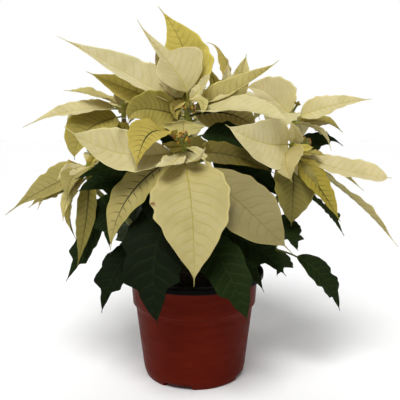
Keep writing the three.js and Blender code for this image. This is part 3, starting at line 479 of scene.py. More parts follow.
LAMINA = 0.22  # half of a blade's thickness
STALK_HALF_WIDTH = 0.9
RAGGED = 0.035  # the share of the half width that an edge wanders by
EDGE_WAVE = 2  # height of the slow wave along each edge
EDGE_WAVES = 1.5  # how many of them a blade has
EDGE_WAVE_SHIFT = 2  # radians between the two edges' waves
NARROW = 12  # half width below which the furrows are shallower
QUILT = 0.42  # depth of the furrows over the side veins
GROOVE = 0.35  # depth of the groove over the midrib
GROOVE_WIDTH = 1.3
RIB_WIDTH = 0.9
VEIN_SLANT = 0.52  # how far a side vein runs towards the tip for each millimetre outwards
VEIN_SHIFT = 0.35  # how far the right half's side veins are out of step with the left half's
CLOSER = 1.25  # the columns stand closer near the edges, at the sines of up to this angle


def outline(plan, s, rng):
    """The distance from midrib to edge, on the left and on the right, at each row. At the share s it
    is width/2 * s^p * (1 - s)^q over that product's peak, where s ends at the foot of the thin tip,
    times the lobes and a fine random line, and at least the stalk, the tip or the strip beside it."""
    inside = np.clip(s, 0, 1)
    widening, narrowing = plan["taper"]
    widest = widening / (widening + narrowing)
    peak = widest ** widening * (1 - widest) ** narrowing
    body = np.clip(inside / (1 - plan["drip"]), 0, 1)
    half = plan["width"] / 2 * body ** widening * (1 - body) ** narrowing / peak
    if plan["kind"] == "leaf":
        half = half * (1 + plan["lobing"] * (np.interp(inside, *zip(*plan["lobes"])) - 1))
    least = np.interp(s, [-0.3, 0, 0.9, 1], [1.2, STALK_HALF_WIDTH, 0.7, 0.2])
    least = np.maximum(least, np.interp(s, [0.1, 0.5, 0.92], [0, plan["strip"], 0]))
    ragged = smooth(inside, 0.03, 0.15) * smooth(1 - inside, 0.02, 0.12)
    return [np.maximum(half * (1 + RAGGED * ragged * waves(s, rng, 3, 9)), least) for _ in range(2)]


def relief(plan, s, a, reach, length, rng):
    """How far the sheet stands over its midrib's level, and the count of side veins from the foot,
    both at each row and column. It rises by the fold, by a wave of 1.5 periods that differs on the
    two sides, and by ruffles that grow with the cube of a. Furrows follow the side veins, where the
    count is a whole number, and a groove follows the midrib."""
    inside, size, left = np.clip(s, 0, 1), np.abs(a)[None], a[None] < 0
    fullness = reach / (plan["width"] / 2)
    phase = np.where(left, 0, EDGE_WAVE_SHIFT)
    wave = EDGE_WAVE * fullness * np.sin(TURN * EDGE_WAVES * s[:, None] + phase) * size ** 1.4
    ruffles = np.where(left, waves(s, rng, 4, 8)[:, None], waves(s, rng, 4, 8)[:, None])
    ruffle = plan["ruffle"] * fullness * ruffles * size ** 3
    slant = VEIN_SLANT * size * reach * (0.5 + 0.9 * size) / (length * (1 - plan["stalk"]))
    vein = plan["veins"] * (s[:, None] - slant)
    vein = vein + 0.05 * waves(size[0], rng, 1, 2)[None] + np.where(left, 0.0, VEIN_SHIFT)
    veiled = smooth(inside, 0.02, 0.12)[:, None] * smooth(1 - inside, 0, 0.2)[:, None]
    furrow = -QUILT * np.abs(np.cos(np.pi * vein)) ** 5 * (1 - size ** 2) * veiled
    furrow = furrow * np.minimum(1, reach / NARROW)
    groove = -GROOVE * np.exp(-((reach * a / GROOVE_WIDTH) ** 2)) * veiled
    folded = reach * math.sin(math.radians(plan["fold"])) * (size ** 1.12)
    lift = folded + wave + ruffle + furrow + groove
    return np.where(s[:, None] < 0, 0, lift), vein


def blade_tints(plan, s, a, reach, length, rng):
    """The colour of each point of both faces: the plan's tint, a little lighter or darker for each
    blade, yellower at a bract's foot, the stalk's green, a spot where it is asked for, and a paler
    underside on leaves."""
    inside = np.clip(s, 0, 1)
    colour = np.array(TINTS[plan["tint"]][0]) * rng.uniform(0.96, 1.04)
    colour = colour * np.array([1, rng.uniform(0.98, 1.02), 1])
    yellowed = 0.25 * np.exp(-((inside / 0.25) ** 2)) * (plan["kind"] == "bract")
    graded = colour + yellowed[:, None] * (np.array(TINTS["yellow_green"][0]) - colour)
    stalk_mix = (1 - smooth(s, -0.03, 0.06))[:, None]
    graded = graded * (1 - stalk_mix) + np.array(STALK_TINT[plan["kind"]]) * stalk_mix
    tints = np.repeat(graded[:, None], 2 * len(a) - 2, axis=1)
    if plan["spot"]:
        share, side_share, radius = plan["spot"]
        away = np.hypot((inside[:, None] - share) * length, reach * a - side_share * reach)
        patch = 1 - smooth(both_faces(away, away), 0.4 * radius, radius)
        tints += patch[..., None] * (np.array(SPOT) - tints)
    if plan["kind"] == "leaf":
        tints[:, len(a):] = tints[:, len(a):] * 0.5 + np.array(UNDERSIDE) * 0.5
    return tints


def both_faces(upper, lower):
    """The upper face's points or values from edge to edge, then the lower face's on the way back."""
    return np.concatenate([upper, lower[:, -2:0:-1]], 1)


def blade(root, plan, rng):
    """A leaf or bract. Its midrib is a cubic curve. Its sheet has the outline and the relief of the
    functions above, across a frame that follows the midrib. It is thickened both ways along its
    normal, most at the midrib, and the stalk is an oval bar that the sheet grows out of."""
    tip = np.array(plan["tip"], float)
    chord = tip - root
    # a cubic's middle stands off by three quarters of what its inner control points do
    near = np.array(plan["bow"], float) * 4 / 3
    far = np.array(plan["bow_far"] or plan["bow"], float) * 4 / 3
    controls = [root, root + chord / 3 + near, root + chord * 2 / 3 + far, tip]
    line = cubic(controls, np.linspace(0, 1, 241))
    ahead = unit(chord)
    across = np.cross(ahead, flattened(np.array(plan["face"], float), ahead[None])[0])

    stalk, rows, columns = plan["stalk"], plan["rows"], plan["columns"]
    on_stalk = stalk * np.linspace(0, 1, max(4, rows // 8), endpoint=False)
    u = np.concatenate([on_stalk, stalk + (1 - stalk) * np.linspace(0, 1, rows)])
    s = (u - stalk) / (1 - stalk)
    a = np.sin(CLOSER * np.linspace(-1, 1, columns + 1)) / math.sin(CLOSER)
    size = np.abs(a)[None]
    middle, tangent, length = along(line, u)
    side = flattened(across, tangent)
    up = np.cross(side, tangent)

    left, right = outline(plan, s, rng)
    reach = np.where(a[None] < 0, left[:, None], right[:, None])
    x = reach * a  # millimetres from the midrib
    lift, vein = relief(plan, s, a, reach, length, rng)
    flat = side[:, None] * (x * math.cos(math.radians(plan["fold"])))[..., None]
    sheet = middle[:, None] + flat + up[:, None] * lift[..., None]
    normal = unit(np.cross(np.gradient(sheet, axis=1), np.gradient(sheet, axis=0)))

    grown = smooth(s, -0.02, 0.1)[:, None]
    oval = plan["stalk_depth"] * np.sqrt(np.clip(1 - a ** 2, 0, 1))[None]
    thin = LAMINA * (1 - size ** 8)
    rib = plan["rib"] * np.exp(-((x / RIB_WIDTH) ** 2)) * (1 - 0.8 * np.clip(s, 0, 1))[:, None]
    above = (1 - grown) * oval + grown * thin
    below = (1 - grown) * oval + grown * (thin + rib * (1 - size ** 8))
    points = both_faces(sheet + normal * above[..., None], sheet - normal * below[..., None])

    ring = 2 * columns
    j = np.arange(1, columns - 1)
    end = np.stack([j, ring - j, ring - j - 1, j + 1], -1)
    last = (len(s) - 1) * ring
    tips = np.array([[0, ring - 1, 1], [columns - 1, columns + 1, columns]])
    surface = Surface(
        points.reshape(-1, 3), np.concatenate([ring_faces(len(s), ring), end, last + end[:, ::-1]]),
        np.concatenate([tips, last + tips[:, ::-1]]))

    def pair(first, second):
        """Two values of the sheet at each point of both faces."""
        sheets = (np.broadcast_to(v, (len(s), columns + 1)) for v in (first, second))
        return np.stack([both_faces(v, v).reshape(-1) for v in sheets], -1)

    tints = blade_tints(plan, s, a, reach, length, rng).reshape(-1, 3)
    _, vein_tint, dark = TINTS[plan["tint"]]
    return surface.give(
        veins=pair(vein, a[None]), span=pair(x / 10, s[:, None]),
        tint=np.concatenate([tints, np.ones((len(tints), 1))], 1), vein_tint=(*vein_tint, 1),
        dark=dark if plan["dark"] is None else plan["dark"])


def fan_plans(fan, form, centre, heights, tilt, tints):
    """The plans of a fan's blades, one for each azimuth, turned outwards from the centre. tilt: how
    far their upper sides look outwards and up; the tints are taken in turn."""
    plans = []
    starts = np.broadcast_to(fan["start"], len(heights))
    for i, degrees in enumerate(fan["azimuth"]):
        out = np.array([math.cos(math.radians(degrees)), math.sin(math.radians(degrees))])
        plans.append(dict(
            form, tip=(*(centre[:2] + fan["reach"][i] * out), heights[i]), width=fan["width"],
            face=(*(out * tilt[0]), tilt[1]), bow=(*(out * fan["arch"][0]), fan["arch"][1]),
            start=starts[i], tint=tints[i % len(tints)],
        ))
    return plans


# ---- branches, heads and flowers ---------------------------------------------------------------

def branch_controls(name):
    """The control points of a branch from just off the trunk to just under its head's neck."""
    plan = BRANCHES[name]
    hub = np.array(plan["hub"], float)
    top = hub - [0, 0, BRANCH_GAP + BRANCH_NECK]
    if "fork" not in plan:
        foot = np.array([0, 0, TRUNK_TOP + BRANCH_GAP])
        return [foot, [0, 0, TRUNK_TOP + TOP_BRANCH_PULL], top - [0, 0, TOP_BRANCH_PULL], top]
    fork = plan["fork"]
    flat = hub * [1, 1, 0]
    foot = unit(flat) * (TRUNK_RADIUS + BRANCH_GAP + BRANCH_STUB) + [0, 0, fork]
    low = flat * plan["lean"][0] + [0, 0, fork + plan["climb"][0]]
    high = flat * plan["lean"][1] + [0, 0, fork + (top[2] - fork) * plan["climb"][1]]
    return [foot, low, high, top]


SCAR_SPACING = 19
BRANCH_ROWS = 150
BRANCH_RING = 18
BRANCH_TAPER = 0.12
SCAR_SWELLING = 0.12
HUB_ROWS = 24


def branch_surface(name, rng):
    """A green branch along its curve. Its radius shrinks evenly from foot to top, and swells at each
    old leaf's scar by a cosine along it to the power 30. A short stub points to the trunk."""
    line = cubic(branch_controls(name), np.linspace(0, 1, 121))
    if "fork" in BRANCHES[name]:
        inwards = unit(-line[0] * [1, 1, 0]) * BRANCH_STUB
        line = np.concatenate([[line[0] + inwards, line[0] + inwards * 0.4], line])
    line = np.concatenate([line, line[-1] + np.linspace([0, 0, 1.5], [0, 0, BRANCH_NECK], 4)])
    s = np.linspace(0, 1, BRANCH_ROWS)
    places, _, length = along(line, s)
    scars = np.abs(np.cos(np.pi * length * s / SCAR_SPACING + rng.uniform(0, np.pi))) ** 30
    radii = BRANCH_RADIUS * (1 - BRANCH_TAPER * s + SCAR_SWELLING * scars)
    flat = unit(np.cross([0, 0, 1], np.array(BRANCHES[name]["hub"], float) * [1, 1, 0]))
    return tube(places, radii, BRANCH_RING, flat)


def hub_surface(name):
    """The green knob that a head's bracts grow from. Over the last seventh of its height its radius
    shrinks as a quarter circle does."""
    plan = BRANCHES[name]
    t = np.linspace(0, 1, HUB_ROWS)
    line = np.array(plan["hub"], float) + np.outer(t * plan["height"], [0, 0, 1])
    radii = HUB_RADIUS * np.sqrt(np.clip(1 - ((t - 0.85) / 0.153).clip(0) ** 2, 0.02, 1))
    return tube(line, radii, BRANCH_RING, (0, 1, 0)).give(
        veins=(0.5, 0.5), span=(0.5, 0.5), tint=(*STALK_TINT["bract"], 1),
        vein_tint=(*TINTS["olive"][1], 1), dark=0)


def head_surface(name, rng):
    """A head: its knob and every bract."""
    hub = np.array(BRANCHES[name]["hub"], float)
    plans = list(BRACTS.get(name, []))
    for fan in BRACT_FANS.get(name, []):
        heights = [hub[2] + lift for lift in fan["lift"]]
        tints = ("cream", "tan", "cream", "yellow_green")
        plans += fan_plans(fan, fan.get("form", BRACT), hub, heights, (0.3, 1), tints)
    blades = [blade(hub + [0, 0, BRANCHES[name]["height"] * p["start"]], p, rng) for p in plans]
    return joined([hub_surface(name)] + blades)


def foliage_surface(name, rng):
    """The green leaves of one branch."""
    controls = branch_controls(name)
    plans = list(LEAVES.get(name, []))
    fan = LEAF_FANS.get(name)
    if fan:
        plans += fan_plans(fan, LEAF, np.zeros(2), fan["height"], (0.6, 0.8), ("green",))
    return joined([blade(cubic(controls, [p["start"]])[0], p, rng) for p in plans])


def axes_along(axis):
    """The three axes of a piece whose Z axis lies along the given unit vector."""
    helper = np.array([1.0, 0, 0]) if abs(axis[0]) < 0.8 else np.array([0, 1.0, 0])
    side = unit(np.cross(helper, axis))
    return np.stack([side, np.cross(axis, side), axis])


CUP_RIPE, GLAND_RIPE, TIP_RIPE = 0.0, 0.5, 1.0
CUP_ROWS = 12
FLOWER_LENGTH = 3.4
CUP_SHARE = 0.72  # of the flower's length
LIP_POINTS = 14
THREADS = 6
THREAD_LENGTH = 1.7
THREAD_LEAN = 0.16


def flower(radius, seat, axis, rng):
    """One small flower: a green cup, whose radius at the height t is a sine arch over a narrow
    foot, a yellow gland lip on its side, and filaments with coloured tips in its mouth. It stands on
    the seat along the axis, and all its sizes are shares of the cup's radius."""
    t = np.linspace(0, 1, CUP_ROWS)
    cup_radii = radius * (0.45 + 0.6 * np.sin(np.pi * t * 0.92) ** 0.8)
    outside = np.stack([cup_radii, (t - 0.5) * (radius * FLOWER_LENGTH) * CUP_SHARE], -1)
    mouth = (cup_radii[-1] * 0.7, outside[-1, 1] - radius * 0.15)
    profile = [(0, outside[0, 1]), *outside, mouth, (0, outside[-1, 1] - radius * 0.3)]
    pieces = [(turned(profile, round_angles(16)), CUP_RIPE)]
    gland_turn = rng.uniform(0, TURN)
    x, y = math.cos(gland_turn), math.sin(gland_turn)
    arc = np.linspace(-0.9, 0.9, LIP_POINTS)
    out, aside = np.cos(arc) * radius * 0.55 + radius * 0.55, np.sin(arc) * radius * 0.75
    lip = np.stack([out, aside, np.full(LIP_POINTS, radius * 0.9)], -1)
    thick = radius * 0.28 * np.sqrt(np.clip(1 - (arc / 0.95) ** 2, 0.05, 1))
    pieces.append((tube(lip @ np.array([[x, y, 0], [-y, x, 0], [0, 0, 1]]), thick, 10), GLAND_RIPE))
    for i in range(THREADS):
        angle = GOLDEN_ANGLE * i + gland_turn
        lean = THREAD_LEAN * math.sqrt(i + 0.5)
        way = np.array([math.cos(angle) * lean, math.sin(angle) * lean, 1])
        rise = np.linspace(0.2, rng.uniform(0.75, 1.0), 8)
        thread = np.outer(rise * radius * THREAD_LENGTH, way) + [0, 0, radius * 0.2]
        knots = [0.2, rise[-1] - 0.2, rise[-1] - 0.05, rise[-1]]
        swell = radius * np.interp(rise, knots, [0.06, 0.07, 0.17, 0.05])
        pieces.append((tube(thread, swell, 8, (0.3, 1, 0)), TIP_RIPE))
    for surface, ripe in pieces:
        surface.points = surface.points @ axes_along(unit(axis)) + seat
        surface.give(ripe=ripe)
    return [surface for surface, _ in pieces]


BUDS = 5
LATE_BUDS = 4  # smaller ones between the others
BUD_SPREAD = 0.58
LATE_SPREAD = 0.5
BUD_SIZE = 0.34
LATE_SIZE = 0.22
BUD_DOME = 0.9
FIRST_BUD = 0.35
FLOWER_STALK = 1.3
CLEARANCE = 0.3


def cluster_surface(name, rng):
    """A cluster: a stalk that leaves the hub square, a cushion, five flowers on it and smaller ones
    between them. Each stands a golden angle further round than the last, and the cosine of its
    angle from the cluster's axis falls evenly. Spreads and sizes are shares of the radius."""
    plan = BRANCHES[name]
    centre, radius, from_share = plan["flowers"]
    centre = np.array(centre, float)
    foot = np.array(plan["hub"], float) + [0, 0, plan["height"] * from_share]
    direction = unit(centre - foot)
    on_top = from_share == 1
    outwards = np.array([0, 0, 1.0]) if on_top else unit(direction * [1, 1, 0])
    start = foot + outwards * (CLEARANCE if on_top else HUB_RADIUS + CLEARANCE)
    elbow = start + outwards * FLOWER_STALK
    line = cubic([start, elbow, elbow + (centre - elbow) * 0.4, centre], np.linspace(0, 1, 24))
    stalk = tube(line, np.full(24, FLOWER_STALK), 12, (0.2, 1, 0.1))
    t = np.linspace(-np.pi / 2, np.pi / 2, 12)
    cushion = turned(np.stack([np.cos(t), np.sin(t)], -1) * radius * 0.5, round_angles(18))
    cushion.points += centre
    pieces = [stalk.give(ripe=CUP_RIPE), cushion.give(ripe=CUP_RIPE)]
    axes = axes_along(unit(direction + [0, 0, 1]))
    for i in range(BUDS + LATE_BUDS):
        late = i >= BUDS
        step = i - BUDS + 0.9 if late else i + FIRST_BUD
        polar = math.acos(1 - BUD_DOME * step / BUDS) * (0.9 if late else 1)
        turn = (i + (0.5 if late else 0)) * GOLDEN_ANGLE
        way = np.array([
            math.sin(polar) * math.cos(turn), math.sin(polar) * math.sin(turn), math.cos(polar),
        ]) @ axes
        seat = centre + way * radius * (LATE_SPREAD if late else BUD_SPREAD)
        pieces += flower(radius * (LATE_SIZE if late else BUD_SIZE), seat, way, rng)
    return joined(pieces)


# ---- pot, soil and woody stem ------------------------------------------------------------------

POT_HEIGHT = 122.5
LIP_RADIUS = 80
LIP_DEPTH = 6.5
LIP_LOW = POT_HEIGHT - LIP_DEPTH
LIP_ROUND = 1.2
LIP_UNDER_ROUND = 0.8
BAND_RADIUS = 73
BAND_FOOT_RADIUS = 71
BAND_BOTTOM = 86
WALL_TOP_RADIUS = 68
FOOT_RADIUS = 57
BEND_HEIGHTS = (10, 20)  # where the wall bends inwards to the foot
BEND_RADII = (FOOT_RADIUS + 2.4, FOOT_RADIUS + 3.6)
POT_WALL = 1.8
FOOT_RING_INNER = 48
RAISED_FLOOR = 4.5
FLOOR_TOP = RAISED_FLOOR + POT_WALL
PAD_RADIUS = 17
LONGEST_STRETCH = 6
NOTCH_COUNT = 4
NOTCH_START = -35
NOTCH_WIDTH = 33
NOTCH_EDGE = 0.3
DRAIN_HOLES = 6
DRAIN_HOLE_RADIUS = 4.5
DRAIN_RING_RADIUS = 33
SOIL_TOP = 104
SOIL_MOUND = 2
CRUMBS = 900
CRUMB_BASE = 1.2  # how far the soil is sunk before the crumbs are put on it
TRUNK_BOTTOM = 60
BARK_ROOM = 0.7  # how far the bark's mean level lies inside the stem's radius
CRACKS = 9
CRACK_DEPTH = 0.35
TRUNK_SCAR = 0.3
TRUNK_SCAR_SPACING = 13


def rounding(radius, height, start, end, count):
    """The lip's rounded corner of that radius, between two angles, about a middle at that height."""
    return [
        (LIP_RADIUS - radius + radius * math.cos(v), height + radius * math.sin(v))
        for v in np.linspace(start, end, count)
    ]


def pot_profile():
    """The pot's section as (radius, height), from the middle underneath, up the outside, over the
    rolled lip, down the inside and back to the middle of the floor."""
    (low_bend, high_bend), (low_radius, high_radius) = BEND_HEIGHTS, BEND_RADII
    return [
        (0, 0), (PAD_RADIUS - 0.5, 0), (PAD_RADIUS, 0.3), (PAD_RADIUS + 3, RAISED_FLOOR - 0.3),
        (PAD_RADIUS + 3.6, RAISED_FLOOR), (FOOT_RING_INNER - 3.4, RAISED_FLOOR),
        (FOOT_RING_INNER - 2.8, RAISED_FLOOR - 0.3), (FOOT_RING_INNER - 0.2, 0.3),
        (FOOT_RING_INNER + 0.3, 0), (FOOT_RADIUS - 2, 0), (FOOT_RADIUS - 0.6, 0.4), (FOOT_RADIUS, 1.4),
        (FOOT_RADIUS + 1.4, 5.5), (low_radius, low_bend), (FOOT_RADIUS + 3.05, 14.5),
        (high_radius, high_bend), (WALL_TOP_RADIUS, BAND_BOTTOM - 2),
        (WALL_TOP_RADIUS + 0.4, BAND_BOTTOM - 1.6), (BAND_FOOT_RADIUS - 0.5, BAND_BOTTOM - 0.4),
        (BAND_FOOT_RADIUS, BAND_BOTTOM + 0.3), (BAND_RADIUS, LIP_LOW - 0.6),
        (BAND_RADIUS + 0.6, LIP_LOW),
        *rounding(LIP_UNDER_ROUND, LIP_LOW + LIP_UNDER_ROUND, -np.pi / 2, 0, 5),
        *rounding(LIP_ROUND, POT_HEIGHT - LIP_ROUND, 0, np.pi / 2, 6),
        (BAND_RADIUS - POT_WALL + 1.2, POT_HEIGHT), (BAND_RADIUS - POT_WALL + 0.3, POT_HEIGHT - 0.3),
        (BAND_RADIUS - POT_WALL, POT_HEIGHT - 1.2), (BAND_FOOT_RADIUS - POT_WALL, BAND_BOTTOM + 1),
        (WALL_TOP_RADIUS - POT_WALL, BAND_BOTTOM - 1.5), (high_radius - POT_WALL, high_bend),
        (low_radius - POT_WALL, low_bend), (FOOT_RADIUS - POT_WALL, FLOOR_TOP), (0, FLOOR_TOP),
    ]


def pot_surface():
    """The pot: its section turned round the axis, with the foot ring lifted to the raised floor's
    height inside each notch, so that height becomes max(height, notch * raised floor)."""
    notch_starts = NOTCH_START - 90 + 360 / NOTCH_COUNT * np.arange(NOTCH_COUNT)
    edges = np.concatenate([notch_starts, notch_starts + NOTCH_WIDTH])
    around = np.concatenate([np.arange(0, 360, 2.0), *(edges + d for d in (-NOTCH_EDGE, NOTCH_EDGE))])
    around = np.unique(np.round(around % 360, 2))
    surface = turned(filled_in(pot_profile(), LONGEST_STRETCH), np.radians(around))
    x, y, z = surface.points.T
    turn = (np.degrees(np.arctan2(y, x))[:, None] - notch_starts[None]) % 360
    in_notch = ((turn > 0) & (turn < NOTCH_WIDTH)).any(1)
    z[in_notch & (np.hypot(x, y) > FOOT_RING_INNER - 3.5) & (z < RAISED_FLOOR)] = RAISED_FLOOR
    return surface


def drain_hole_surface(index):
    """A round bar through the pot's floor, which the drain hole is cut with."""
    angle = TURN * index / DRAIN_HOLES
    centre = np.array([DRAIN_RING_RADIUS * math.cos(angle), DRAIN_RING_RADIUS * math.sin(angle), 0])
    heights = np.linspace(-4, 4 * RAISED_FLOOR, 3)
    return tube(centre + np.outer(heights, [0, 0, 1]), np.full(3, DRAIN_HOLE_RADIUS), 32, (0, 1, 0))


def soil_surface(rng):
    """Damp peat: the filling's section turned round the axis. Its top is raised by crumbs, each a
    round bump of random place, size and height, the highest one winning at every point."""
    gap = CLEARANCE
    rim = BAND_FOOT_RADIUS - POT_WALL - 2 * gap
    bore = TRUNK_RADIUS + 2 * gap
    profile = [
        (0, FLOOR_TOP + gap), (FOOT_RADIUS - POT_WALL - 2 * gap, FLOOR_TOP + gap),
        *[(radius - POT_WALL - gap, height) for radius, height in zip(BEND_RADII, BEND_HEIGHTS)],
        (WALL_TOP_RADIUS - POT_WALL - gap, BAND_BOTTOM - 1.5),
        (BAND_FOOT_RADIUS - POT_WALL - gap, BAND_BOTTOM + 1), (rim, SOIL_TOP - 1.5),
    ]
    profile += [
        (bore + (rim - bore) * t, SOIL_TOP + SOIL_MOUND * (1 - t) - 0.8 * (t > 0.97))
        for t in np.linspace(1, 0, 70)[1:]
    ]
    profile += [(bore, SOIL_TOP - 8), (bore, TRUNK_BOTTOM - gap), (0, TRUNK_BOTTOM - gap)]
    surface = turned(profile, np.radians(np.arange(0, 360, 1.5)))
    on_top = surface.points[:, 2] > SOIL_TOP - 1
    top = surface.points[on_top]
    spread = np.sqrt(rng.uniform((bore / rim) ** 2, 1, CRUMBS)) * rim
    turn = rng.uniform(0, TURN, CRUMBS)
    centres = np.stack([spread * np.cos(turn), spread * np.sin(turn)], -1)
    sizes = rng.uniform(1.2, 4.2, CRUMBS)
    distance = np.linalg.norm(top[:, None, :2] - centres[None], axis=2) / sizes
    crumbs = (np.sqrt(np.clip(1 - distance ** 2, 0, 1)) * sizes * rng.uniform(0.3, 0.6, CRUMBS)).max(1)
    radius = np.linalg.norm(top[:, :2], axis=1)
    top[:, 2] += (crumbs - CRUMB_BASE) * (smooth(radius, bore, bore + 3) * smooth(rim - radius, 0, 3))
    surface.points[on_top] = top
    return surface


def trunk_surface(rng):
    """The woody stem: a bar whose radius has slow waves up it, cracks by a bent cosine round it to
    the power 12, and old leaf scars by a cosine up it to the power 24."""
    heights = np.concatenate([
        [TRUNK_BOTTOM], np.linspace(TRUNK_BOTTOM + 0.4, TRUNK_TOP - 1, 150), [TRUNK_TOP],
    ])
    z, angle = np.meshgrid(heights, round_angles(72), indexing="ij")
    swelling = 0.25 * waves(z / 90, rng, 1, 4)
    bent = CRACKS / 2 * angle + 1.2 * np.sin(z / 9) + 0.6 * np.sin(z / 3.7 + 2 * angle)
    cracks = -CRACK_DEPTH * np.abs(np.cos(bent)) ** 12
    scars = TRUNK_SCAR * np.abs(np.cos(np.pi * z / TRUNK_SCAR_SPACING + 0.5 * np.sin(angle))) ** 24
    radius = TRUNK_RADIUS - BARK_ROOM + swelling + cracks + scars
    radius[0] *= 0.9
    radius[-1] *= 0.8
    rings = np.stack([radius * np.cos(angle), radius * np.sin(angle), z], -1)
    return closed(rings, [0, 0, heights[0]], [0, 0, heights[-1]])


# ---- meshes ------------------------------------------------------------------------------------

def make_object(name, surface, material):
    """A Blender object at the origin from a surface, smooth, with its values as UV maps (two
    numbers a point), a colour attribute (four) or a plain attribute (one)."""
    fours, threes = surface.fours, surface.threes
    mesh = bpy.data.meshes.new(name)
    mesh.vertices.add(len(surface.points))
    mesh.vertices.foreach_set("co", (surface.points * MM).astype(np.float32).ravel())
    corners = np.concatenate([fours.ravel(), threes.ravel()]).astype(np.int32)
    starts = np.concatenate([np.arange(len(fours)) * 4, len(fours) * 4 + np.arange(len(threes)) * 3])
    mesh.loops.add(len(corners))
    mesh.loops.foreach_set("vertex_index", corners)
    mesh.polygons.add(len(starts))
    mesh.polygons.foreach_set("loop_start", starts.astype(np.int32))
    mesh.update(calc_edges=True)
    for key, values in surface.values.items():
        if values.shape[1] == 2:
            layer = mesh.uv_layers.new(name=key)
            layer.data.foreach_set("uv", values[corners].astype(np.float32).ravel())
        elif values.shape[1] == 4:
            layer = mesh.attributes.new(key, "FLOAT_COLOR", "POINT")
            layer.data.foreach_set("color", values.astype(np.float32).ravel())
        else:
            layer = mesh.attributes.new(key, "FLOAT", "POINT")
            layer.data.foreach_set("value", values[:, 0].astype(np.float32))
    mesh.shade_smooth()
    mesh.materials.append(material)
    piece = bpy.data.objects.new(name, mesh)
    bpy.context.scene.collection.objects.link(piece)
    return piece


def settle(piece, slot, *nodes):
    """Makes a piece ride with the plant and stand for its CAD nodes, which it hides. The slot is not
    used.
    """
    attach(piece, "root")
    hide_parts(*nodes)


# ---- materials ---------------------------------------------------------------------------------

class Nodes:
    """One material and the nodes that drive its Principled shader."""

    def __init__(self, name, roughness, specular):
        self.material = bpy.data.materials.new(name)
        self.material.use_nodes = True
        self.tree = self.material.node_tree
        self.shader = self.tree.nodes["Principled BSDF"]
        self.shader.inputs["Roughness"].default_value = roughness
        self.shader.inputs["Specular IOR Level"].default_value = specular
        self.place = self.add("ShaderNodeTexCoord").outputs["Object"]

    def add(self, kind, inputs=None, **settings):
        """A node with its settings, and its inputs given as numbers, colours or other outputs."""
        node = self.tree.nodes.new(kind)
        for key, value in settings.items():
            setattr(node, key, value)
        for key, value in (inputs or {}).items():
            if isinstance(value, bpy.types.NodeSocket):
                self.tree.links.new(value, node.inputs[key])
            else:
                node.inputs[key].default_value = value
        return node

    def maths(self, operation, a, b=0.0, clamp=False):
        """The result of an operation on one or two values."""
        return self.add("ShaderNodeMath", {0: a, 1: b}, operation=operation, use_clamp=clamp).outputs[0]

    def plus(self, a, b):
        """The sum of two values."""
        return self.maths("ADD", a, b)

    def minus(self, a, b):
        """The first value less the second."""
        return self.maths("SUBTRACT", a, b)

    def times(self, a, b, clamp=False):
        """The product of two values."""
        return self.maths("MULTIPLY", a, b, clamp)

    def ramp(self, value, low, high, start=0.0, end=1.0):
        """start below low, end above high, and an S-shaped change between them."""
        inputs = {"Value": value, "From Min": low, "From Max": high, "To Min": start, "To Max": end}
        return self.add("ShaderNodeMapRange", inputs, interpolation_type="SMOOTHSTEP").outputs["Result"]

    def fade(self, value, low, high, least=0.0):
        """1 below low, least above high, and an S-shaped change between them."""
        return self.ramp(value, low, high, 1.0, least)

    def line(self, value, x0, y0, x1, y1):
        """The straight line through two points given in millimetres, at a value in metres."""
        slope = (y1 - y0) / (x1 - x0)
        return self.plus(self.times(value, slope), (y0 - x0 * slope) * MM)

    def mix(self, share, first, second, blend="MIX"):
        """The first colour changed to the second by a share."""
        colours = {
            key: value if isinstance(value, bpy.types.NodeSocket) else (*value, 1)
            for key, value in ((6, first), (7, second))
        }
        inputs = {"Factor": share, **colours}
        return self.add("ShaderNodeMix", inputs, data_type="RGBA", blend_type=blend).outputs[2]

    def split(self, vector):
        """The X, Y and Z of a vector."""
        return self.add("ShaderNodeSeparateXYZ", {0: vector}).outputs

    def uv(self, name):
        """The two numbers that a UV map holds for each point."""
        return self.split(self.add("ShaderNodeUVMap", uv_map=name).outputs[0])

    def attribute(self, name, output="Fac"):
        """A value or colour that each point has."""
        return self.add("ShaderNodeAttribute", attribute_name=name).outputs[output]

    def noise(self, scale, detail=3.0, vector=None):
        """Cloudy noise of about 0.3 to 0.7, with the scale in waves a metre."""
        inputs = {"Vector": vector or self.place, "Scale": scale, "Detail": detail}
        return self.add("ShaderNodeTexNoise", inputs).outputs["Fac"]

    def streaks(self, across, upwards, detail):
        """Noise stretched upwards, with its waves a metre across and upwards."""
        scale = {"Vector": self.place, "Scale": (across, across, upwards)}
        return self.noise(1.0, detail, self.add("ShaderNodeMapping", scale).outputs["Vector"])

    def cells(self, scale, feature="F1"):
        """The distance to the nearest cell's middle or edge, with the scale in cells a metre."""
        inputs = {"Vector": self.place, "Scale": scale}
        return self.add("ShaderNodeTexVoronoi", inputs, feature=feature).outputs["Distance"]

    def finish(self, colour, height=None, depth=0.0003, strength=0.6, roughness=None):
        """Links the colour, a bump of that depth in metres and the roughness. Gives the material."""
        self.tree.links.new(colour, self.shader.inputs["Base Color"])
        if height is not None:
            inputs = {"Height": height, "Distance": depth, "Strength": strength}
            bump = self.add("ShaderNodeBump", inputs)
            self.tree.links.new(bump.outputs["Normal"], self.shader.inputs["Normal"])
        if roughness is not None:
            self.tree.links.new(roughness, self.shader.inputs["Roughness"])
        return self.material


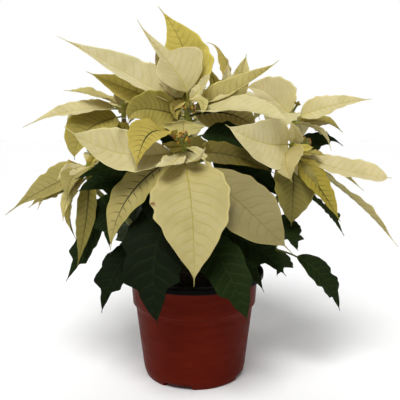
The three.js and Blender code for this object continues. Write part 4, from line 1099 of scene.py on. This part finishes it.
def blade_material(name, vein_share, rib_share, net_share, shine, depth, glow):
    """A veined blade: its tint, mottled; the side veins where the vein value is near a whole number;
    the midrib near the middle line; a net of fine veins; dark green along the ribs where the dark
    value asks for it; and a paler band along the edge, a painted highlight for the light the edge
    catches. The shares are how much of the vein tint each kind of vein takes, and the bump has that
    depth in metres."""
    n = Nodes(name, 0.6, shine)
    veins, span = n.uv("veins"), n.uv("span")
    tint, vein_tint = n.attribute("tint", "Color"), n.attribute("vein_tint", "Color")
    dark = n.attribute("dark")
    size = n.maths("ABSOLUTE", veins[1])
    s = span[1]
    in_lamina = n.ramp(s, 0.0, 0.06)

    wobble = n.times(n.minus(n.noise(90, 1.0), 0.5), 0.05)
    turn = n.maths("FRACT", n.plus(veins[0], wobble))
    gap = n.maths("MINIMUM", turn, n.minus(1.0, turn))
    line = n.times(n.times(n.fade(gap, 0.02, 0.085), n.fade(size, 0.35, 1.0, 0.15)), in_lamina)
    halo = n.times(n.fade(gap, 0.0, 0.3), in_lamina)
    from_rib = n.maths("DIVIDE", n.maths("ABSOLUTE", span[0]), n.minus(1.12, s))
    rib = n.times(n.fade(from_rib, 0.035, 0.1), in_lamina)
    net = n.times(n.fade(n.cells(420.0, "DISTANCE_TO_EDGE"), 0.0, 0.16), in_lamina)

    worn = n.mix(1.0, tint, (0.9, 0.9, 0.82), "MULTIPLY")
    colour = n.mix(n.ramp(n.noise(55), 0.35, 0.7), tint, worn)
    for part, share in (halo, vein_share * 0.3), (net, net_share), (line, vein_share), (rib, rib_share):
        colour = n.mix(n.times(part, share), colour, vein_tint)
    dark_veins = n.times(n.times(line, n.fade(size, 0.1, 0.7)), 0.8)
    shaded = n.maths("MAXIMUM", n.fade(from_rib, 0.08, 0.19), dark_veins)
    shaded = n.times(n.times(shaded, n.fade(s, 0.45, 1.0, 0.15)), dark, clamp=True)
    colour = n.mix(shaded, colour, DARK_RIB)
    # painted highlight: a paler band along each edge stands for the light that the thin edge catches,
    # yellower on the dark-ribbed blades
    rim = n.times(n.ramp(size, 0.92, 0.98), 0.8)
    edge_highlight_tint = n.mix(1.0, tint, n.mix(dark, (1.32, 1.28, 1.1), (1.05, 1.08, 0.6)), "MULTIPLY")
    colour = n.mix(n.times(rim, in_lamina), colour, edge_highlight_tint)

    height = n.minus(n.minus(n.times(line, -0.8), rib), n.times(net, 0.35))
    height = n.plus(height, n.times(n.noise(700, 2.0), 0.25))
    n.shader.inputs["Subsurface Weight"].default_value = glow
    n.shader.inputs["Subsurface Radius"].default_value = (1.0, 0.9, 0.35)
    n.shader.inputs["Subsurface Scale"].default_value = 0.0012
    return n.finish(colour, height, depth)


def bract_material():
    """Bracts: thin enough to let some light through, with plain midribs."""
    return blade_material(
        "bract", vein_share=0.3, rib_share=0.75, net_share=0.05, shine=0.2, depth=0.0003, glow=0.25)


def leaf_material():
    """Green leaves: opaque and dull, with deeper furrows."""
    return blade_material(
        "green_leaf", vein_share=0.28, rib_share=0.5, net_share=0.08, shine=0.08, depth=0.0005, glow=0)


def stem_material(looks):
    """Green stem: paler ridges along it, reddish in patches, with small pale pores."""
    n = Nodes("green_stem", 0.5, 0.4)
    ridges = n.streaks(900, 60, 3.0)
    colour = n.mix(n.ramp(ridges, 0.35, 0.65), looks.stem, looks.stem_pale)
    colour = n.mix(n.ramp(n.noise(30, 2.0), 0.5, 0.75, 0.0, 0.45), colour, looks.stem_red)
    colour = n.mix(n.ramp(n.cells(260.0), 0.1, 0.2, 0.5, 0.0), colour, looks.stem_pale)
    return n.finish(colour, ridges)


def bark_material(looks):
    """Thin grey-brown bark with upright cracks and pale pores."""
    n = Nodes("bark", 0.85, 0.2)
    grain = n.streaks(700, 110, 6.0)
    colour = n.mix(n.ramp(grain, 0.38, 0.62), looks.bark_dark, looks.bark)
    colour = n.mix(n.ramp(n.cells(230.0), 0.08, 0.16, 0.7, 0.0), colour, looks.bark_pale)
    return n.finish(colour, grain, 0.0008, 0.8)


def peat_material(looks):
    """Damp peat: near black crumbs with brown fibres and a few pale specks."""
    n = Nodes("peat", 0.95, 0.2)
    crumbs = n.noise(420, 8.0)
    colour = n.mix(n.ramp(crumbs, 0.4, 0.62), looks.peat, looks.peat_brown)
    colour = n.mix(n.ramp(n.cells(150.0), 0.05, 0.1, 0.8, 0.0), colour, looks.peat_speck)
    return n.finish(colour, crumbs, 0.0015, 0.9)


def pot_material(looks):
    """Two-colour moulded plastic: red-brown outside up to the lip, near black on the lip and
    inside, with faint flow marks, scuffs and dust. A point is outside when it is further out than
    the middle of the wall at its height, which is one line up the taper and one up the collar."""
    n = Nodes("pot_plastic", 0.5, 0.03)
    x, y, z = n.split(n.place)
    radius = n.maths("SQRT", n.plus(n.times(x, x), n.times(y, y)))
    half_wall = POT_WALL / 2
    tapered = n.line(z, 20, FOOT_RADIUS + 2.7, BAND_BOTTOM - 2, WALL_TOP_RADIUS - half_wall)
    collar = n.line(z, BAND_BOTTOM, BAND_FOOT_RADIUS - half_wall, LIP_LOW, BAND_RADIUS - half_wall)
    in_collar = n.maths("GREATER_THAN", z, (BAND_BOTTOM - half_wall) * MM)
    middle = n.plus(tapered, n.times(n.minus(collar, tapered), in_collar))
    underneath = n.fade(z, (RAISED_FLOOR + 0.6) * MM, (RAISED_FLOOR + 0.9) * MM)
    below_lip = n.fade(z, (LIP_LOW - 0.7) * MM, (LIP_LOW - 0.4) * MM)
    red = n.times(n.maths("MAXIMUM", n.maths("GREATER_THAN", radius, middle), underneath), below_lip)
    brown = n.mix(n.ramp(n.streaks(30, 140, 4.0), 0.35, 0.7), looks.pot, looks.pot_light)
    colour = n.mix(red, looks.pot_black, brown)
    colour = n.mix(n.ramp(n.noise(240, 5.0), 0.62, 0.8, 0.0, 0.1), colour, looks.dust)
    height = n.plus(n.times(n.noise(900), 0.5), n.streaks(500, 60, 5.0))
    return n.finish(colour, height, 0.0001, 0.4, n.ramp(n.noise(90, 4.0), 0.3, 0.7, 0.36, 0.52))


def flower_material(looks):
    """Flowers by ripeness: green cup below, yellow gland and orange-red tips on their threads."""
    n = Nodes("flower", 0.4, 0.5)
    ripe = n.attribute("ripe")
    speckle = n.noise(500)
    # the cup and filament colours are darkened as painted shade
    cup = n.mix(n.ramp(speckle, 0.35, 0.65), looks.cup, looks.cup_pale)
    colour = n.mix(n.ramp(ripe, 0.2, 0.3), cup, looks.gland)
    colour = n.mix(n.ramp(ripe, 0.7, 0.8), colour, looks.filament)
    return n.finish(colour, speckle, 0.0002)


# ---- settings ----------------------------------------------------------------------------------

def colour_prop(name, description, *screen):
    """A colour property whose default is given by its screen values from 0 to 255."""
    return bpy.props.FloatVectorProperty(
        name=name, description=description, default=paint(*screen), subtype="COLOR", min=0, max=1)


def number_prop(name, description, default, **more):
    """A number property, with its unit and limits."""
    return bpy.props.FloatProperty(name=name, description=description, default=default, **more)


def length_prop(name, description, default, **more):
    """A length property."""
    return number_prop(name, description, default, unit="LENGTH", **more)


def angle_prop(name, description, default, **more):
    """An angle property, with its default in degrees."""
    default = math.radians(default)
    return number_prop(name, description, default, unit="ROTATION", subtype="ANGLE", **more)


class PoinsettiaLooks(bpy.types.PropertyGroup):
    """Colours of everything but the blades."""

    pot: colour_prop("Pot", "Main red-brown of the pot's outside", 88, 21, 8)
    pot_light: colour_prop("Pot, lighter", "Paler flow marks in the pot's plastic", 95, 26, 11)
    pot_black: colour_prop("Lip", "The pot's lip and inside", 13, 12, 11)
    dust: colour_prop("Dust", "Dust and scuffs on the pot", 122, 88, 74)
    peat: colour_prop("Peat", "Damp peat in the shade", 22, 16, 12)
    peat_brown: colour_prop("Peat fibres", "Brown fibres in the peat", 52, 38, 26)
    peat_speck: colour_prop("Peat specks", "A few pale specks in the peat", 118, 104, 84)
    bark: colour_prop("Bark", "Grey-brown bark", 122, 104, 76)
    bark_dark: colour_prop("Bark cracks", "Cracks in the bark", 66, 52, 36)
    bark_pale: colour_prop("Bark pores", "Pale pores in the bark", 158, 142, 112)
    stem: colour_prop("Stem", "Green of the branches", 82, 98, 44)
    stem_pale: colour_prop("Stem ridges", "Paler ridges along the branches", 122, 132, 66)
    stem_red: colour_prop("Stem blush", "Reddish patches on the branches", 112, 58, 40)
    # painted shade: the cup's green and the filaments' orange-red are darker than the flowers' own,
    # because the clusters sit in the bracts' shadow
    cup: colour_prop("Flower cup", "Green of the small flowers", 84, 88, 20)
    cup_pale: colour_prop("Flower cup, pale", "Paler green of the small flowers", 120, 116, 34)
    gland: colour_prop("Gland", "Yellow lip on each flower", 205, 150, 28)
    filament: colour_prop("Filaments", "Orange-red tips in each flower", 165, 80, 18)


class PoinsettiaStage(bpy.types.PropertyGroup):
    """Floor, lights and camera."""

    floor: colour_prop("Floor", "The plain floor's colour", 255, 255, 255)
    floor_size: length_prop("Floor size", "Side of the square floor", 8.0, min=1.0)
    key_power: number_prop("Key light", "Strength of the soft light from above", 2.3, min=0.0)
    key_azimuth: angle_prop("Key azimuth", "Where it comes from: 0 is the front, 90 the right", -15)
    key_elevation: angle_prop("Key elevation", "How high the key light stands", 58)
    key_spread: angle_prop("Key spread", "How wide the light looks; wider is softer", 28, min=0.0)
    softbox_power: number_prop(
        "Softbox", "Power of the square light over the plant's front", 2.0, min=0.0, unit="POWER")
    softbox_size: length_prop("Softbox size", "Side of the square light", 0.6, min=0.01)
    softbox_place: bpy.props.FloatVectorProperty(
        name="Softbox place", description="Where the square light hangs", subtype="TRANSLATION", size=3,
        default=(-0.2, -0.7, 1.05), unit="LENGTH")
    softbox_tilt: angle_prop("Softbox tilt", "How far the light is tilted from looking down", 42)
    softbox_turn: angle_prop("Softbox turn", "How far the square light is turned to the plant", -16)
    surround: number_prop("Surroundings", "Strength of the white light from all sides", 0.2, min=0.0)
    backdrop: number_prop("Backdrop", "Strength of the light from behind the plant", 1.0, min=0.0)
    camera_height: length_prop("Camera height", "Height of the camera over the floor", 0.315)
    camera_distance: length_prop("Camera distance", "From camera to pot, along Y", 0.673, min=0.1)
    camera_side: length_prop("Camera side", "How far right of the pot the camera stands", 0.0067)
    camera_pitch: angle_prop("Camera pitch", "How far the camera looks down", 9.46)
    focal_length: number_prop("Focal length", "Of the camera, on a sensor 36 mm wide", 54.0, min=1.0)


# ---- operators ---------------------------------------------------------------------------------

SEEDS = {"soil": 11, "trunk": 12, "branches": 100, "leaves": 200, "bracts": 300, "flowers": 400}


def make_each(prefix, node, slot, surface, material, seed):
    """One piece for each branch, in place of the CAD node of that name, each with random numbers of
    its own."""
    for i, name in enumerate(BRANCHES):
        piece = make_object(prefix + name, surface(name, np.random.default_rng(seed + i)), material)
        settle(piece, slot, node + name)


class POINSETTIA_OT_pot(bpy.types.Operator):
    """Make the nursery pot, with its notches and drain holes"""
    bl_idname = "poinsettia.pot"
    bl_label = "Pot"

    def execute(self, context):
        material = pot_material(context.scene.poinsettia_looks)
        piece = make_object("nursery_pot", pot_surface(), material)
        bars = joined([drain_hole_surface(i) for i in range(DRAIN_HOLES)])
        cutter = make_object("drain_hole_cutter", bars, material)
        cut = piece.modifiers.new("drain holes", "BOOLEAN")
        cut.object = cutter
        cut.operation = "DIFFERENCE"
        cut.solver = "EXACT"
        shape = piece.evaluated_get(context.evaluated_depsgraph_get())
        mesh = bpy.data.meshes.new_from_object(shape)
        if len(mesh.vertices) <= len(piece.data.vertices):
            raise RuntimeError("the drain holes weren't cut")
        piece.modifiers.clear()
        piece.data = mesh
        bpy.data.objects.remove(cutter)
        settle(piece, "pot", "pot")
        return {"FINISHED"}


class POINSETTIA_OT_soil(bpy.types.Operator):
    """Make the crumbly potting soil"""
    bl_idname = "poinsettia.soil"
    bl_label = "Soil"

    def execute(self, context):
        surface = soil_surface(np.random.default_rng(SEEDS["soil"]))
        piece = make_object("potting_soil", surface, peat_material(context.scene.poinsettia_looks))
        settle(piece, "soil", "soil")
        return {"FINISHED"}


class POINSETTIA_OT_trunk(bpy.types.Operator):
    """Make the woody main stem"""
    bl_idname = "poinsettia.trunk"
    bl_label = "Main stem"

    def execute(self, context):
        surface = trunk_surface(np.random.default_rng(SEEDS["trunk"]))
        piece = make_object("woody_stem", surface, bark_material(context.scene.poinsettia_looks))
        settle(piece, "bark", "main_stem")
        return {"FINISHED"}


class POINSETTIA_OT_branches(bpy.types.Operator):
    """Make the eight green branches"""
    bl_idname = "poinsettia.branches"
    bl_label = "Branches"

    def execute(self, context):
        material = stem_material(context.scene.poinsettia_looks)
        make_each("branch_", "stem_", "leaves", branch_surface, material, SEEDS["branches"])
        return {"FINISHED"}


class POINSETTIA_OT_leaves(bpy.types.Operator):
    """Make the green leaves of each branch"""
    bl_idname = "poinsettia.leaves"
    bl_label = "Leaves"

    def execute(self, context):
        make_each("foliage_", "stem_", "leaves", foliage_surface, leaf_material(), SEEDS["leaves"])
        return {"FINISHED"}


class POINSETTIA_OT_bracts(bpy.types.Operator):
    """Make the heads of bracts"""
    bl_idname = "poinsettia.bracts"
    bl_label = "Bracts"

    def execute(self, context):
        make_each("head_", "bracts_", "bracts", head_surface, bract_material(), SEEDS["bracts"])
        return {"FINISHED"}


class POINSETTIA_OT_flowers(bpy.types.Operator):
    """Make the clusters of small flowers"""
    bl_idname = "poinsettia.flowers"
    bl_label = "Flowers"

    def execute(self, context):
        material = flower_material(context.scene.poinsettia_looks)
        make_each("cyathia_", "flowers_", "flowers", cluster_surface, material, SEEDS["flowers"])
        return {"FINISHED"}


def add_object(name, data, place=(0, 0, 0), turn=(0, 0, 0)):
    """An object of the stage, in its place and turned about its axes."""
    thing = bpy.data.objects.new(name, data)
    thing.location = place
    thing.rotation_euler = turn
    bpy.context.scene.collection.objects.link(thing)
    return thing


def make_floor(stage):
    """A pale, faintly mottled square under the pot."""
    half = stage.floor_size / 2
    height = CAD_BOX[0][2]
    corners = [(-half, -half), (half, -half), (half, half), (-half, half)]
    mesh = bpy.data.meshes.new("floor")
    mesh.from_pydata([(x, y, height) for x, y in corners], [], [(0, 1, 2, 3)])
    n = Nodes("floor", 0.9, 0.1)
    shade = n.mix(n.ramp(n.noise(3, 2.0), 0.3, 0.7), stage.floor, [v * 0.99 for v in stage.floor])
    mesh.materials.append(n.finish(shade))
    floor = add_object("floor", mesh)


def light_surroundings(scene, stage):
    """White light from all sides, stronger from behind the plant, which is towards +Y."""
    world = scene.world or bpy.data.worlds.new("surroundings")
    scene.world = world
    world.use_nodes = True
    tree = world.node_tree
    way = tree.nodes.new("ShaderNodeSeparateXYZ")
    tree.links.new(tree.nodes.new("ShaderNodeTexCoord").outputs["Generated"], way.inputs[0])
    bright = tree.nodes.new("ShaderNodeMapRange")
    bright.interpolation_type = "SMOOTHSTEP"
    tree.links.new(way.outputs["Y"], bright.inputs["Value"])
    ends = {"From Min": 0.15, "From Max": 0.75, "To Min": stage.surround, "To Max": stage.backdrop}
    for name, value in ends.items():
        bright.inputs[name].default_value = value
    background = tree.nodes["Background"]
    background.inputs["Color"].default_value = (1, 1, 1, 1)
    tree.links.new(bright.outputs["Result"], background.inputs["Strength"])


def hang_lights(stage):
    """The key light, which is even light from one side of the sky, and the softbox. Azimuth 0 is the
    front and 90 degrees the right."""
    key = bpy.data.lights.new("key_light", "SUN")
    key.energy = stage.key_power
    key.angle = stage.key_spread
    add_object("key_light", key, turn=(math.pi / 2 - stage.key_elevation, 0, stage.key_azimuth))
    box = bpy.data.lights.new("softbox", "AREA")
    box.size = stage.softbox_size
    box.energy = stage.softbox_power
    add_object("softbox", box, stage.softbox_place, (stage.softbox_tilt, 0, stage.softbox_turn))


class POINSETTIA_OT_stage(bpy.types.Operator):
    """Make the pale floor, the soft lights and the camera"""
    bl_idname = "poinsettia.stage"
    bl_label = "Stage"

    def execute(self, context):
        stage = context.scene.poinsettia_stage
        make_floor(stage)
        light_surroundings(context.scene, stage)
        hang_lights(stage)
        lens = bpy.data.cameras.new("camera")
        lens.sensor_width = 36
        lens.lens = stage.focal_length
        place = (stage.camera_side, -stage.camera_distance, stage.camera_height)
        turn = (math.pi / 2 - stage.camera_pitch, 0, 0)
        context.scene.camera = add_object("camera", lens, place, turn)
        context.scene.view_settings.view_transform = "Standard"
        return {"FINISHED"}


OPERATORS = [
    POINSETTIA_OT_stage, POINSETTIA_OT_pot, POINSETTIA_OT_soil, POINSETTIA_OT_trunk,
    POINSETTIA_OT_branches, POINSETTIA_OT_leaves, POINSETTIA_OT_bracts, POINSETTIA_OT_flowers,
]


class POINSETTIA_PT_panel(bpy.types.Panel):
    """Lists the pieces of the plant and their settings"""
    bl_label = "Poinsettia"
    bl_idname = "POINSETTIA_PT_panel"
    bl_space_type = "VIEW_3D"
    bl_region_type = "UI"
    bl_category = "Poinsettia"

    def draw(self, context):
        for operator in OPERATORS:
            self.layout.operator(operator.bl_idname)
        for group in (context.scene.poinsettia_looks, context.scene.poinsettia_stage):
            box = self.layout.box()
            for name in group.__annotations__:
                box.prop(group, name)


CLASSES = [PoinsettiaLooks, PoinsettiaStage, *OPERATORS, POINSETTIA_PT_panel]


def register():
    """Adds the settings, the operators and the panel to Blender."""
    for cls in CLASSES:
        bpy.utils.register_class(cls)
    bpy.types.Scene.poinsettia_looks = bpy.props.PointerProperty(type=PoinsettiaLooks)
    bpy.types.Scene.poinsettia_stage = bpy.props.PointerProperty(type=PoinsettiaStage)


def unregister():
    """Takes them out again."""
    del bpy.types.Scene.poinsettia_stage
    del bpy.types.Scene.poinsettia_looks
    for cls in reversed(CLASSES):
        bpy.utils.unregister_class(cls)


def main():
    """Makes every piece in order."""
    register()
    for operator in OPERATORS:
        group, name = operator.bl_idname.split(".")
        getattr(getattr(bpy.ops, group), name)()


if __name__ == "__main__":
    main()
